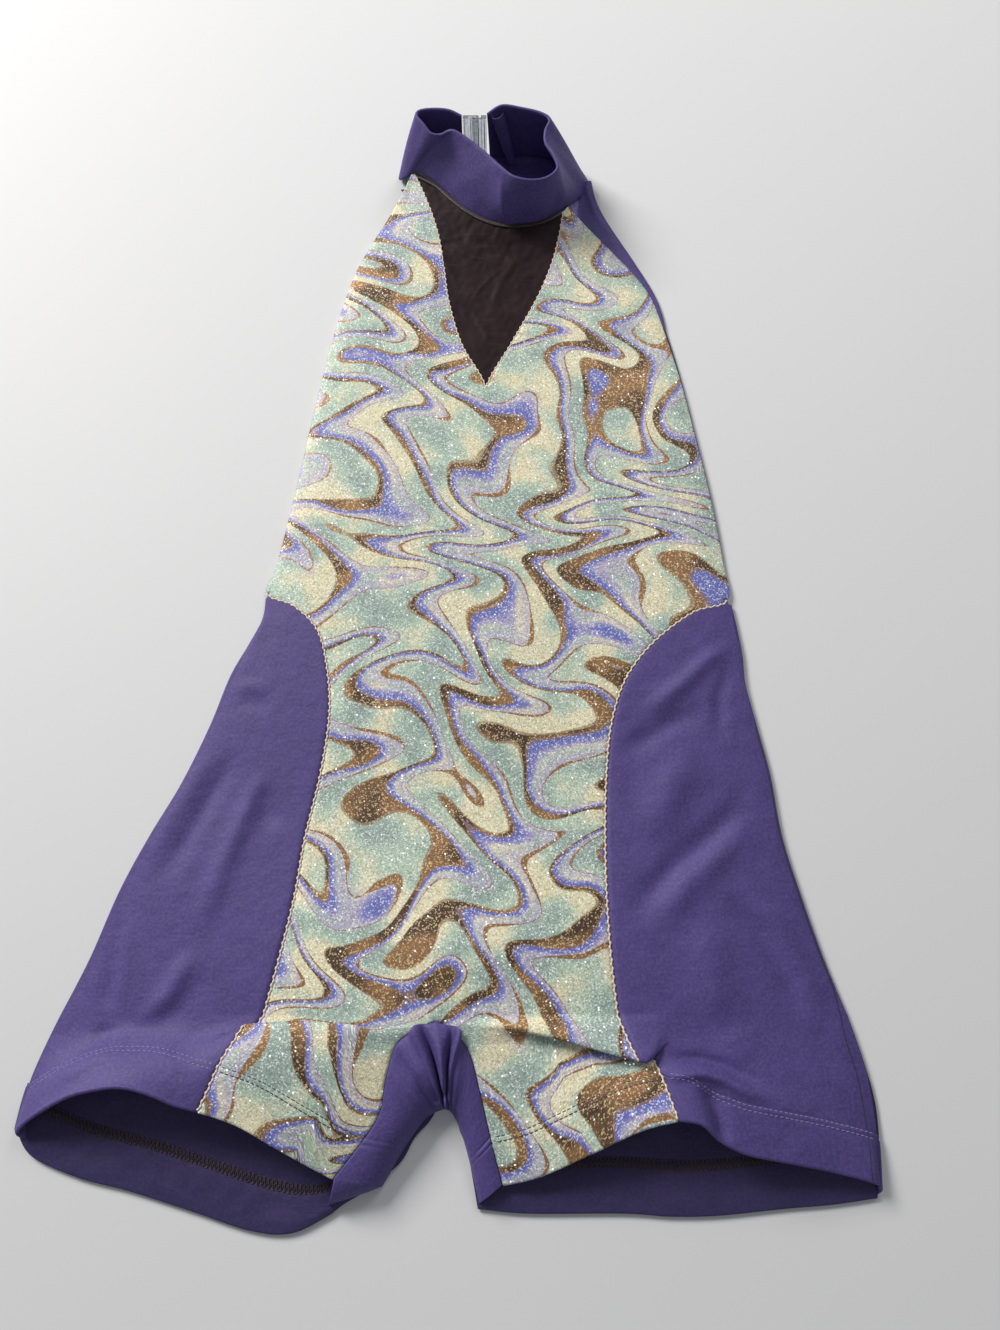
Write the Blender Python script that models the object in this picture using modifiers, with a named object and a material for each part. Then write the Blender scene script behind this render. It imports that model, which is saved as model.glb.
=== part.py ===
"""A child's halter-neck biketard (a leotard with short legs), laid flat on its back.

Units: the tables are in millimetres, the scene is in metres, +Z is up.  The neck points to +Y, the
leg hems to -Y, and the table top is z = 0.  The lowest layer is the flat back panel.  The front pieces
lie on it and rise toward the stiff collar and the open leg hems.
"""

import math

import bmesh
import bpy
import numpy as np
from mathutils import Vector

MM = 0.001

# Driving sizes
WALL = 1.2
COLLAR_WALL = 2.0
MESH_WALL = 1.0
SEAM_GAP = 0.3
PLEATED_SEAM_GAP = 1.5
HEM_DEPTH = 20.0
REST_Z = WALL + SEAM_GAP + WALL / 2
TORSO_LOFT = 2.4
EDGE_ROLL = 13.0
COLLAR_LIFT = 7.5
COLLAR_LIFT_START = 2.0
COLLAR_LIFT_REACH = 20.0
CROTCH_LIFT = 8.6
LEG_LIFT_TOP = -95.0
APEX_Y = -213.0
CENTRE_X = -0.2
CENTRE_Y = 6.5

# Mesh density: steps between two table rows, and across each half of a panel
SEAM_TURN_ROWS = (11.15, 11.5, 12.5, 13.5)
HALF_COLUMNS = 7
SIDE_COLUMNS = 7
STRIP_COLUMNS = 7
COLLAR_STEPS = 2
COLLAR_ROWS = 5
LEG_CURVE_STEPS = 8

# Making limits: how near two points are one point, and the angle that stays a sharp edge
GRID_WELD = 0.02
CAP_WELD = 0.001
SHARP_ANGLE = math.radians(40.0)
LEAST_LENGTH = 1e-6

# Print panel: outer edge and centre edge of each half.  Above the V tip and below the crotch the two
# halves part, so the centre has a left and a right point.
PRINT_SECTIONS = (
    # name, left x, left y, centre-left x, y, centre-right x, y, right x, right y
    ("collar", -29.2, 266.0, -27.6, 265.4, 60.6, 236.6, 64.0, 241.0),
    ("strap top", -35.2, 254.5, -22.0, 252.6, 59.5, 229.0, 71.5, 233.0),
    ("strap", -43.2, 238.6, -16.2, 236.0, 57.7, 219.0, 80.5, 224.0),
    ("shoulder", -52.2, 221.5, -12.1, 220.0, 55.0, 207.5, 89.5, 214.0),
    ("armhole", -60.4, 203.0, -9.2, 201.0, 50.5, 194.0, 99.5, 202.0),
    ("underarm", -66.9, 180.0, -6.0, 178.0, 43.4, 177.0, 111.0, 184.0),
    ("chest", -73.4, 150.0, 1.8, 149.5, 29.6, 149.5, 119.0, 156.0),
    ("V tip", -78.1, 121.0, 15.6, 121.0, 15.6, 121.0, 125.6, 127.0),
    ("rib", -82.6, 92.0, 14.0, 93.0, 14.0, 93.0, 131.0, 96.0),
    ("upper waist", -88.4, 52.0, 10.5, 52.0, 10.5, 52.0, 137.9, 53.0),
    ("waist", -94.6, 16.0, 7.5, 15.0, 7.5, 15.0, 142.0, 16.0),
    ("seam corner", -98.8, -2.0, 6.0, -3.0, 6.0, -3.0, 142.6, -6.0),
    ("seam turn", -84.0, -9.6, 5.5, -13.0, 5.5, -13.0, 123.8, -13.4),
    ("seam bend", -71.1, -22.8, 5.0, -25.5, 5.0, -25.5, 102.0, -30.4),
    ("hollow", -65.0, -42.0, 4.0, -45.5, 4.0, -45.5, 87.2, -50.0),
    ("narrowest", -62.2, -68.0, 3.0, -70.5, 3.0, -70.5, 79.2, -73.8),
    ("hip", -65.0, -99.0, 1.6, -100.0, 1.6, -100.0, 75.8, -101.0),
    ("low hip", -70.4, -130.0, 0.0, -130.0, 0.0, -130.0, 74.2, -130.0),
    ("seat", -73.3, -158.0, -1.8, -158.5, -1.8, -158.5, 73.8, -158.5),
    ("top of leg", -78.2, -186.0, -3.6, -187.0, -3.6, -187.0, 74.7, -186.0),
    ("crotch", -83.4, -211.0, -4.9, APEX_Y, -4.9, APEX_Y, 76.6, -211.0),
)
V_TIP_ROW = 7
SEAM_CORNER_ROW = 11
CROTCH_ROW = 20

# Outer edges of the side panels, a row for each print section from the seam corner down
SIDE_SECTIONS = (
    # left x, left y, right x, right y
    (-99.1, -4.2, 144.4, -8.0),
    (-100.2, -17.0, 146.4, -20.0),
    (-106.6, -31.0, 148.2, -36.0),
    (-114.4, -47.5, 148.6, -52.0),
    (-122.4, -73.5, 152.8, -74.0),
    (-133.6, -102.6, 157.4, -99.0),
    (-147.0, -129.0, 160.6, -129.0),
    (-158.4, -155.0, 166.8, -156.0),
    (-168.8, -186.5, 174.9, -185.6),
    (-179.4, -212.0, 183.2, -210.5),
)

# Silhouette of the whole garment, used for the loft of the front over the back
SILHOUETTE = (
    # y, left x, right x
    (290.0, -28.0, 66.0),
    (254.5, -35.2, 78.0),
    (221.5, -52.2, 92.0),
    (203.0, -60.4, 103.0),
    (180.0, -66.9, 114.0),
    (121.0, -78.1, 127.6),
    (52.0, -88.4, 138.4),
    (-3.0, -98.9, 143.4),
    (-31.0, -106.6, 148.2),
    (-73.5, -122.4, 152.8),
    (-129.0, -147.0, 160.6),
    (-186.0, -168.7, 174.9),
    (-212.0, -179.4, 183.2),
    (-260.0, -192.0, 191.0),
)

# Each leg below the crotch row: outer edge, side seam and inner seam, from crotch row to hem
LEFT_LEG_EDGES = (
    # outer x, outer y, seam x, seam y, seam z, inner x, inner y, inner z
    (-179.4, -212.0, -83.4, -211.0, 9.0, -4.9, APEX_Y, 13.6),
    (-184.0, -224.0, -91.6, -221.0, 12.6, -21.5, -221.8, 13.8),
    (-188.0, -236.0, -97.8, -231.0, 16.0, -26.9, -236.5, 14.0),
    (-190.6, -248.0, -102.6, -241.0, 18.4, -30.6, -254.0, 13.4),
    (-191.8, -260.0, -106.9, -249.5, 20.0, -48.4, -277.2, 11.0),
)
RIGHT_LEG_EDGES = (
    (183.2, -210.5, 76.6, -211.0, 9.0, -4.9, APEX_Y, 13.6),
    (186.5, -222.0, 82.6, -221.0, 11.0, 8.6, -224.4, 12.6),
    (190.0, -238.0, 90.0, -231.5, 14.5, 14.4, -242.0, 11.2),
    (191.2, -258.0, 95.5, -242.5, 19.0, 19.6, -262.5, 9.0),
    (190.4, -280.5, 99.8, -252.8, 22.0, 24.6, -280.4, 6.2),
)

# Hem of each leg's front, from the outer edge to the inner seam
LEFT_HEM = (
    # x, y, z
    (-191.8, -260.0, REST_Z),
    (-182.2, -252.8, 11.5),
    (-165.1, -243.6, 20.0),
    (-149.0, -239.6, 24.0),
    (-137.8, -239.2, 25.0),
    (-127.0, -242.2, 24.0),
    (-117.0, -246.6, 22.0),
    (-106.9, -249.5, 20.0),
    (-90.3, -254.8, 19.0),
    (-73.3, -263.8, 17.0),
    (-60.0, -271.0, 14.2),
    (-48.4, -277.2, 11.0),
)
LEFT_HEM_SEAM = 7
RIGHT_HEM = (
    (190.4, -280.5, REST_Z),
    (180.0, -277.4, 6.8),
    (164.0, -273.6, 10.6),
    (148.0, -270.4, 13.4),
    (130.0, -266.8, 16.4),
    (119.0, -261.4, 19.0),
    (110.0, -254.2, 22.4),
    (99.8, -252.8, 22.0),
    (84.0, -256.8, 20.2),
    (63.0, -266.4, 15.2),
    (41.0, -276.2, 9.6),
    (24.6, -280.4, 6.2),
)
RIGHT_HEM_SEAM = 7

# Pleat profiles down a leg: distance below the crotch row, rise, and sideways slide of the seams
LEFT_PLEAT = (
    # open distance, folded distance, folded rise, slide
    (0.0, 0.0, 0.0, 0.0),
    (2.0, 5.0, 0.0, 1.0),
    (4.0, 10.0, 0.1, 2.0),
    (6.0, 12.2, 1.15, 1.0),
    (8.0, 10.0, 2.2, -1.0),
    (10.0, 5.6, 2.3, -3.0),
    (12.0, 3.3, 3.4, -4.6),
    (14.0, 5.6, 4.5, -4.4),
    (17.0, 11.0, 4.6, -2.4),
)
RIGHT_PLEAT = (
    (0.0, 0.0, 0.0, 0.0),
    (3.0, 4.0, 2.6, -1.4),
    (6.0, 13.0, 4.6, -4.2),
    (9.0, 15.2, 3.5, -4.8),
    (11.5, 13.0, 2.4, -3.6),
    (13.5, 8.5, 1.4, -2.0),
    (15.5, 6.3, 0.3, 0.0),
    (17.5, 8.5, -0.8, 1.8),
    (20.0, 14.0, -0.8, 2.4),
)
LEFT_FOLD_EDGE = 3.3
RIGHT_FOLD_EDGE = 15.2
# Where each pleat's visible edge lies: distance below the crotch row, along that row
LEFT_PLEAT_EDGE = (
    # x on the crotch row, distance
    (-150.0, 8.0),
    (-95.0, 4.7),
    (-84.0, 3.3),
    (-55.0, 3.3),
    (-34.0, 5.4),
    (-20.0, 9.0),
)
RIGHT_PLEAT_EDGE = (
    (8.0, 5.0),
    (27.0, 7.5),
    (47.0, 14.5),
    (66.0, 20.5),
    (96.0, 24.0),
    (112.0, 24.5),
    (129.0, 28.0),
    (144.0, 33.0),
    (163.0, 36.0),
)
# How far each pleat is folded along the crotch row, from the outer edge to the inner seam
LEFT_PLEAT_AMOUNT = (
    # x on the crotch row, amount
    (-179.4, 0.0),
    (-128.0, 0.0),
    (-100.0, 0.12),
    (-83.4, 0.85),
    (-60.0, 1.0),
    (-34.0, 0.95),
    (-20.0, 0.45),
    (-4.9, 0.0),
)
RIGHT_PLEAT_AMOUNT = (
    (-4.9, 0.0),
    (16.0, 0.3),
    (34.0, 0.85),
    (60.0, 1.0),
    (76.6, 0.95),
    (96.0, 0.45),
    (135.0, 0.2),
    (183.2, 0.0),
)
PLEAT_FADE = 2.0
PLEAT_TURN = 1.7
PLEAT_MOST_SHARE = 0.9
PLEAT_EDGE_ROWS = 2.0
HEM_ROWS = 4

# Soft folds of the front: a ridge (plus) or a trough (minus) along each line
FOLDS = (
    # name, x0, y0, x1, y1, half width, height
    ("chest crease upper", -40.0, 158.0, -4.0, 119.0, 5.0, 1.1),
    ("chest crease lower", -4.0, 119.0, 26.0, 86.0, 6.0, 0.9),
    ("armhole gather 1", -68.0, 179.0, -50.0, 173.0, 2.8, 1.0),
    ("armhole gather 2", -70.0, 169.5, -51.0, 162.0, 2.8, 1.1),
    ("armhole gather 3", -72.0, 160.0, -56.0, 151.0, 3.0, 0.9),
    ("right hip trough", 140.0, -31.0, 82.0, -70.0, 9.0, -1.1),
    ("right hip swell", 150.0, -66.0, 92.0, -96.0, 16.0, 1.6),
    ("right thigh trough", 131.0, -118.0, 80.0, -166.0, 11.0, -1.6),
    ("right outer trough", 142.0, -154.0, 162.0, -212.0, 8.0, -1.8),
    ("right thigh swell", 118.0, -150.0, 128.0, -206.0, 16.0, 2.6),
    ("left waist ridge", -97.0, -48.0, -84.0, -66.0, 7.0, 1.3),
    ("left thigh trough", -107.0, -85.0, -131.0, -140.0, 9.0, -1.3),
    ("left inner crease", -96.0, -100.0, -84.0, -126.0, 7.0, -1.0),
    ("left outer trough", -156.0, -163.0, -158.0, -210.0, 7.0, -1.8),
    ("left thigh ridge", -118.0, -180.0, -141.0, -212.0, 9.0, 1.8),
    ("belly swell", -30.0, -40.0, 40.0, -90.0, 30.0, 1.0),
    ("seat ridge", -30.0, -176.0, 42.0, -184.0, 14.0, 1.6),
)

# Mesh inset under the collar
MESH_COLUMNS = 8
MESH_RIM_STATIONS = (7.15, 15.85)
MESH_RIM_FADE = 3.0
MESH_SIDE_GAP = 0.55
MESH_TIP_POSITION = 6.85
RIM_CLEARANCE = COLLAR_WALL / 2.0 + SEAM_GAP + 0.15
COLLAR_FOOT_STEP = 0.2
COLLAR_RUN_STEP = 0.5

# Inner-leg strip, a row for each row of the leg edges: the left leg from its hem up to the crotch,
# then the right leg down to its hem.  The strip's top follows the print's inner seam.
STRIP_SECTIONS = (
    # floor x, floor y, crest rise
    (-28.2, -281.6, 1.0),
    (-17.6, -264.6, 1.5),
    (-9.6, -254.6, 1.9),
    (-4.0, -251.4, 2.2),
    (-0.2, -250.8, 2.4),
    (3.0, -253.6, 1.8),
    (6.4, -260.4, 1.3),
    (10.2, -272.0, 1.0),
    (14.4, -288.6, 0.8),
)
STRIP_SEAM_GAP = 0.6
STRIP_GATHERS = (
    # row along the strip, height of the gather ridge
    (2.8, 1.2),
    (3.45, 1.8),
    (4.05, 2.0),
    (4.65, 1.5),
)
GATHER_HALF_WIDTH = 0.2

# Collar: a rib for each section, from the left clasp end round the front to the right clasp end
COLLAR_RIBS = (
    # bottom x, y, z, top x, top y, top z, outward bulge
    (0.4, 283.4, 0.3, 1.0, 280.4, 38.0, 0.0),
    (-9.0, 284.6, 0.2, -6.0, 283.0, 39.6, 0.6),
    (-20.5, 283.6, 0.2, -15.0, 283.4, 40.0, 1.0),
    (-30.6, 279.4, 0.2, -22.6, 282.4, 40.0, 1.2),
    (-36.6, 273.6, 1.0, -24.4, 278.6, 40.0, 1.0),
    (-37.0, 269.0, 2.4, -20.6, 273.0, 39.0, 0.4),
    (-33.4, 267.0, 6.6, -16.2, 268.4, 37.4, -0.4),
    (-27.4, 267.0, 11.4, -10.6, 267.8, 37.0, -0.6),
    (-20.0, 262.6, 12.0, -4.6, 269.6, 38.6, 0.4),
    (-12.3, 256.8, 11.4, 1.6, 266.0, 38.4, 1.0),
    (-3.3, 246.8, 10.6, 10.0, 259.4, 37.4, 1.4),
    (6.0, 238.2, 10.0, 17.4, 252.0, 37.0, 1.6),
    (17.6, 231.2, 9.6, 24.4, 244.4, 37.0, 1.6),
    (29.4, 228.4, 9.4, 30.6, 238.0, 37.0, 1.4),
    (40.4, 229.2, 9.4, 40.4, 235.4, 37.0, 1.2),
    (50.6, 232.6, 9.6, 49.8, 236.8, 37.0, 1.0),
    (60.4, 240.0, 9.4, 56.2, 243.2, 37.4, 0.8),
    (67.6, 249.0, 6.2, 54.0, 252.4, 38.0, 0.4),
    (73.8, 258.6, 2.6, 49.6, 260.6, 38.4, -0.4),
    (76.2, 267.0, 1.7, 49.8, 268.6, 39.0, -0.2),
    (73.0, 275.6, 0.4, 52.0, 275.8, 40.0, 0.6),
    (63.0, 282.2, 0.2, 46.6, 281.0, 40.0, 1.0),
    (48.0, 285.4, 0.2, 35.4, 284.2, 40.0, 1.0),
    (31.0, 286.2, 0.2, 24.4, 286.0, 40.0, 0.4),
    (17.4, 284.6, 0.2, 16.4, 281.8, 38.0, 0.0),
)

# Back panel outline, counter-clockwise from the left hem corner
BACK_OUTLINE = (
    # x, y
    (-191.6, -260.4),
    (-183.6, -270.2),
    (-162.0, -278.6),
    (-139.4, -283.8),
    (-112.2, -291.4),
    (-85.3, -299.2),
    (-67.8, -300.4),
    (-53.1, -294.4),
    (-44.9, -289.0),
    (-36.4, -284.4),
    (-27.2, -283.0),
    (-20.8, -272.8),
    (-14.6, -262.8),
    (-7.6, -255.4),
    (-2.4, -252.2),
    (0.2, -251.8),
    (2.2, -252.6),
    (5.2, -258.6),
    (9.2, -268.4),
    (13.8, -290.8),
    (35.6, -292.6),
    (77.3, -292.6),
    (98.2, -293.8),
    (119.2, -293.4),
    (147.3, -290.8),
    (168.4, -289.2),
    (188.6, -286.6),
    (192.2, -280.0),
    (192.4, -258.0),
    (190.6, -238.0),
    (183.6, -210.5),
    (174.9, -185.6),
    (166.8, -156.0),
    (160.6, -129.0),
    (157.4, -99.0),
    (152.8, -74.0),
    (148.6, -52.0),
    (148.2, -33.0),
    (144.0, -6.0),
    (143.6, 16.0),
    (139.6, 53.0),
    (132.8, 96.0),
    (127.6, 127.0),
    (121.6, 156.0),
    (113.4, 187.0),
    (101.6, 210.0),
    (90.6, 229.0),
    (83.8, 241.0),
    (79.6, 252.0),
    (77.6, 265.0),
    (58.6, 260.0),
    (54.0, 236.0),
    (50.0, 214.0),
    (44.0, 192.0),
    (34.6, 173.0),
    (20.0, 162.0),
    (6.4, 168.0),
    (-2.6, 186.0),
    (-8.0, 208.0),
    (-12.0, 232.0),
    (-15.6, 260.0),
    (-36.8, 267.6),
    (-36.4, 258.0),
    (-43.2, 238.6),
    (-52.2, 221.5),
    (-60.4, 203.0),
    (-66.9, 180.0),
    (-73.4, 150.0),
    (-78.1, 121.0),
    (-82.6, 92.0),
    (-88.4, 52.0),
    (-94.6, 16.0),
    (-99.1, -4.2),
    (-100.2, -17.0),
    (-106.6, -31.0),
    (-114.4, -47.5),
    (-122.4, -73.5),
    (-133.6, -102.6),
    (-147.0, -129.0),
    (-158.4, -155.0),
    (-168.8, -186.5),
    (-179.4, -212.0),
    (-188.0, -236.0),
)
LEFT_HEM_CORNERS = (0, 10)
RIGHT_HEM_CORNERS = (19, 26)
HEM_INSET = 1.0
HEM_END_INSET = 9.0
HEM_END_MOST_SHARE = 0.9
HEM_OVERLAP = 0.4

# Clasp: plan outlines of the two hooked halves, as x and y from the clasp's middle
CLASP_MIDDLE_X = 8.7
CLASP_MIDDLE_Y = 282.2
CLASP_BOTTOM_Z = 2.4
CLASP_HEIGHT = 35.0
CLASP_LEAN = math.radians(4.0)
HOOK_OUTLINE = (
    (-6.9, -1.3),
    (-3.9, -1.3),
    (-3.9, 0.35),
    (1.2, 0.35),
    (1.2, -0.4),
    (2.4, -0.4),
    (2.4, 1.3),
    (-6.9, 1.3),
)
EYE_OUTLINE = (
    (6.9, 1.3),
    (3.9, 1.3),
    (3.9, -0.75),
    (-0.4, -0.75),
    (-0.4, 0.0),
    (-1.6, 0.0),
    (-1.6, -1.5),
    (6.9, -1.5),
)

NAVY = (0.074, 0.053, 0.205)
MINT = (0.40, 0.60, 0.55)
MESH_BROWN = (0.032, 0.022, 0.028)
CLEAR = (0.80, 0.80, 0.78)


def clear_scene():
    """Remove every object, so that the file starts from nothing."""
    for old in list(bpy.data.objects):
        bpy.data.objects.remove(old, do_unlink=True)


def new_collection(name):
    """Return a new collection linked to the scene."""
    collection = bpy.data.collections.new(name)
    bpy.context.scene.collection.children.link(collection)
    return collection


def make_material(name, colour, roughness, metallic=0.0):
    """Return a plain Principled material."""
    material = bpy.data.materials.new(name)
    material.use_nodes = True
    shader = material.node_tree.nodes["Principled BSDF"]
    shader.inputs["Base Color"].default_value = (*colour, 1.0)
    shader.inputs["Roughness"].default_value = roughness
    shader.inputs["Metallic"].default_value = metallic
    return material


def smooth_step(value):
    """Ease from 0 to 1, held outside that range."""
    value = min(max(value, 0.0), 1.0)
    return value * value * (3.0 - 2.0 * value)


def along(table, position):
    """Read a table of number rows at a fractional row, on a Catmull-Rom curve through the rows."""
    rows = np.asarray(table, dtype=float)
    last = len(rows) - 1
    index = min(int(position), last - 1)
    part = position - index
    before = rows[max(index - 1, 0)]
    start = rows[index]
    end = rows[index + 1]
    after = rows[min(index + 2, last)]
    return 0.5 * (
        2.0 * start
        + (end - before) * part
        + (2.0 * before - 5.0 * start + 4.0 * end - after) * part**2
        + (3.0 * start - before - 3.0 * end + after) * part**3
    )


def lookup(table, value):
    """Interpolate the second column of a table whose first column rises."""
    keys = [row[0] for row in table]
    return float(np.interp(value, keys, [row[1] for row in table]))


def silhouette_at(y):
    """Left and right x of the whole garment at a height on the body."""
    rows = SILHOUETTE[::-1]
    keys = [row[0] for row in rows]
    left = float(np.interp(y, keys, [row[1] for row in rows]))
    right = float(np.interp(y, keys, [row[2] for row in rows]))
    return left, right


def collar_distance(x, y):
    """Plan distance from a point to the collar's bottom edge."""
    return min(math.hypot(x - rib[0], y - rib[1]) for rib in COLLAR_RIBS)


def fold_height(x, y):
    """Sum of the soft ridges and troughs at a point of the front."""
    total = 0.0
    for _, x0, y0, x1, y1, half_width, height in FOLDS:
        run = Vector((x1 - x0, y1 - y0))
        offset = Vector((x - x0, y - y0))
        share = min(max(offset.dot(run) / run.length_squared, 0.0), 1.0)
        away = (offset - run * share).length / half_width
        total += height * math.exp(-away * away)
    return total


def front_height(x, y):
    """Height of the front cloth's middle over the table, above the crotch row."""
    left, right = silhouette_at(y)
    edge = max(min(x - left, right - x), 0.0)
    loft = 1.0 - math.exp(-edge / EDGE_ROLL)
    leg = smooth_step((LEG_LIFT_TOP - y) / (LEG_LIFT_TOP - APEX_Y))
    middle = math.sin(math.pi * min(edge / (0.5 * (right - left)), 1.0) / 2.0)
    away = max(collar_distance(x, y) - COLLAR_LIFT_START, 0.0)
    collar = COLLAR_LIFT * math.exp(-away / COLLAR_LIFT_REACH)
    cloth = TORSO_LOFT * loft + CROTCH_LIFT * leg * middle + fold_height(x, y) * loft
    return REST_Z + max(cloth, 0.0) + collar


def on_front(x, y):
    """Point of the front cloth's middle surface."""
    return Vector((x, y, front_height(x, y)))


def shifted(point, toward, distance):
    """Point moved a distance toward another one."""
    gap = toward - point
    return point + gap * (distance / max(gap.length, LEAST_LENGTH))


def row_between(start, end, columns, lift=on_front):
    """Points of the front from one edge point to another."""
    return [
        lift(*start.lerp(end, column / columns).xy)
        for column in range(columns + 1)
    ]


def coons_patch(top, bottom, left, right):
    """Grid of points that fills the space between four edge curves that meet at their ends."""
    rows = len(left) - 1
    columns = len(top) - 1
    grid = []
    for row in range(rows + 1):
        down = row / rows
        line = []
        for column in range(columns + 1):
            over = column / columns
            ruled_down = top[column].lerp(bottom[column], down)
            ruled_over = left[row].lerp(right[row], over)
            upper = top[0].lerp(top[-1], over)
            lower = bottom[0].lerp(bottom[-1], over)
            line.append(ruled_down + ruled_over - upper.lerp(lower, down))
        grid.append(line)
    return grid


def pleated(grid, pleat):
    """Fold a leg's grid along its columns by the pleat profile, and keep its hem in place."""
    profile, amounts, edges, fold_edge = pleat
    rows = len(grid) - 1
    folded_grid = []
    for step in range(len(profile) + HEM_ROWS):
        line = []
        part = max(step - len(profile) + 1, 0) / HEM_ROWS
        open_at, folded_at, rise, slide = profile[min(step, len(profile) - 1)]
        for column in range(len(grid[0])):
            top = grid[0][column]
            length = max((grid[-1][column] - top).length, 1.0)
            amount = lookup(amounts, top.x)
            edge = lookup(edges, top.x)
            folded = folded_at * min(edge / fold_edge, 1.0)
            folded += max(edge - fold_edge, 0.0) * min(step / PLEAT_EDGE_ROWS, 1.0)
            turned = open_at + (folded - open_at) * amount**PLEAT_TURN
            start = min(turned, PLEAT_MOST_SHARE * length)
            distance = start + (length - start) * part
            fade = min(PLEAT_FADE * amount, 1.0) * (1.0 - smooth_step(part))
            position = min(distance / length, 1.0) * rows
            index = min(int(position), rows - 1)
            point = grid[index][column].lerp(grid[index + 1][column], position - index)
            line.append(point + Vector((slide * amount * fade, 0.0, rise * fade)))
        folded_grid.append(line)
    return folded_grid


def faces_of_grid(bm, grid, flip=False):
    """Add a grid of points to a mesh as quads that face up."""
    verts = [[bm.verts.new(point * MM) for point in line] for line in grid]
    for upper, lower in zip(verts, verts[1:]):
        for column in range(len(upper) - 1):
            quad = [upper[column], lower[column], lower[column + 1], upper[column + 1]]
            bm.faces.new(quad[::-1] if flip else quad)


def cloth_object(name, grids, wall, material, home, collection, flip=False):
    """Make one piece of cloth: an open surface with a wall of even thickness about it."""
    bm = bmesh.new()
    for grid in grids:
        faces_of_grid(bm, grid, flip)
    bmesh.ops.remove_doubles(bm, verts=bm.verts, dist=GRID_WELD * MM)
    mesh = bpy.data.meshes.new(name)
    bm.to_mesh(mesh)
    bm.free()
    piece = bpy.data.objects.new(name, mesh)
    collection.objects.link(piece)
    solidify = piece.modifiers.new("wall", "SOLIDIFY")
    solidify.thickness = wall * MM
    solidify.offset = 0.0
    return finished(piece, material, home)


def flat_curve(name, outline, thickness, collection, bottom=0.0):
    """Make a flat closed outline as a 2D curve with a thickness, standing on a height."""
    curve = bpy.data.curves.new(name, "CURVE")
    curve.dimensions = "2D"
    curve.fill_mode = "BOTH"
    curve.extrude = thickness * MM / 2.0
    spline = curve.splines.new("POLY")
    spline.points.add(len(outline) - 1)
    for point, (x, y) in zip(spline.points, outline):
        point.co = (x * MM, y * MM, 0.0, 1.0)
    spline.use_cyclic_u = True
    flat = bpy.data.objects.new(name, curve)
    flat.location.z = (bottom + thickness / 2.0) * MM
    collection.objects.link(flat)
    return flat


def meshed(flat, collection):
    """Replace a curve object by its mesh, with the caps welded to the sides."""
    bpy.context.view_layer.update()
    graph = bpy.context.evaluated_depsgraph_get()
    mesh = bpy.data.meshes.new_from_object(flat.evaluated_get(graph))
    bm = bmesh.new()
    bm.from_mesh(mesh)
    bmesh.ops.remove_doubles(bm, verts=bm.verts, dist=CAP_WELD * MM)
    bmesh.ops.recalc_face_normals(bm, faces=bm.faces)
    bm.to_mesh(mesh)
    bm.free()
    name = flat.name
    place = flat.matrix_world.copy()
    bpy.data.objects.remove(flat, do_unlink=True)
    solid = bpy.data.objects.new(name, mesh)
    solid.matrix_world = place
    collection.objects.link(solid)
    return solid


def finished(piece, material, home):
    """Give a piece its material, smooth shading and parent."""
    piece.data.materials.clear()
    piece.data.materials.append(material)
    if piece.type == "MESH":
        piece.data.shade_smooth()
        piece.data.set_sharp_from_angle(angle=SHARP_ANGLE)
    piece.parent = home
    return piece


def print_edges(position):
    """Four plan points of the print panel at a fractional section: outer, centre, centre, outer."""
    values = along([row[1:] for row in PRINT_SECTIONS], position)
    return [Vector((values[i], values[i + 1], 0.0)) for i in range(0, 8, 2)]


def section_positions(first, last):
    """Section numbers from one to another, with extra rows where the side seams turn inward."""
    positions = [float(number) for number in range(first, last + 1)]
    positions += [extra for extra in SEAM_TURN_ROWS if first < extra < last]
    return sorted(positions)


def leg_curves(edges, hem, seam_index):
    """Curves round a leg's two patches: outer edge, side seam, inner seam, and the hem's two parts."""
    outer, seam, inner = [], [], []
    for step in range(LEG_CURVE_STEPS + 1):
        values = along(edges, step * (len(edges) - 1) / LEG_CURVE_STEPS)
        outer.append(Vector((values[0], values[1], REST_Z)))
        seam.append(Vector(values[2:5]))
        inner.append(Vector(values[5:8]))
    hem_rows = np.asarray(hem)
    side_hem = [Vector(along(hem_rows[: seam_index + 1], seam_index * i / SIDE_COLUMNS))
                for i in range(SIDE_COLUMNS + 1)]
    inner_count = len(hem) - 1 - seam_index
    inner_hem = [Vector(along(hem_rows[seam_index:], inner_count * i / HALF_COLUMNS))
                 for i in range(HALF_COLUMNS + 1)]
    return outer, seam, inner, side_hem, inner_hem


def matched(curve, start, end):
    """Curve with its height eased so that its ends meet two given points."""
    last = len(curve) - 1
    first_step = start - curve[0]
    last_step = end - curve[-1]
    return [point + first_step.lerp(last_step, i / last) for i, point in enumerate(curve)]


def leg_grids(edges, hem, seam_index, top_side, top_inner, pleat):
    """Pleated grids of one leg: the side panel's part and the print's part, seam to seam."""
    outer, seam, inner, side_hem, inner_hem = leg_curves(edges, hem, seam_index)
    side_outer = matched(outer, top_side[0], side_hem[0])
    side_seam = matched(seam, top_side[-1], side_hem[-1])
    print_seam = matched(seam, top_inner[0], inner_hem[0])
    print_inner = matched(inner, top_inner[-1], inner_hem[-1])
    side = coons_patch(top_side, side_hem, side_outer, side_seam)
    print_part = coons_patch(top_inner, inner_hem, print_seam, print_inner)
    return pleated(side, pleat), pleated(print_part, pleat)


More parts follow.
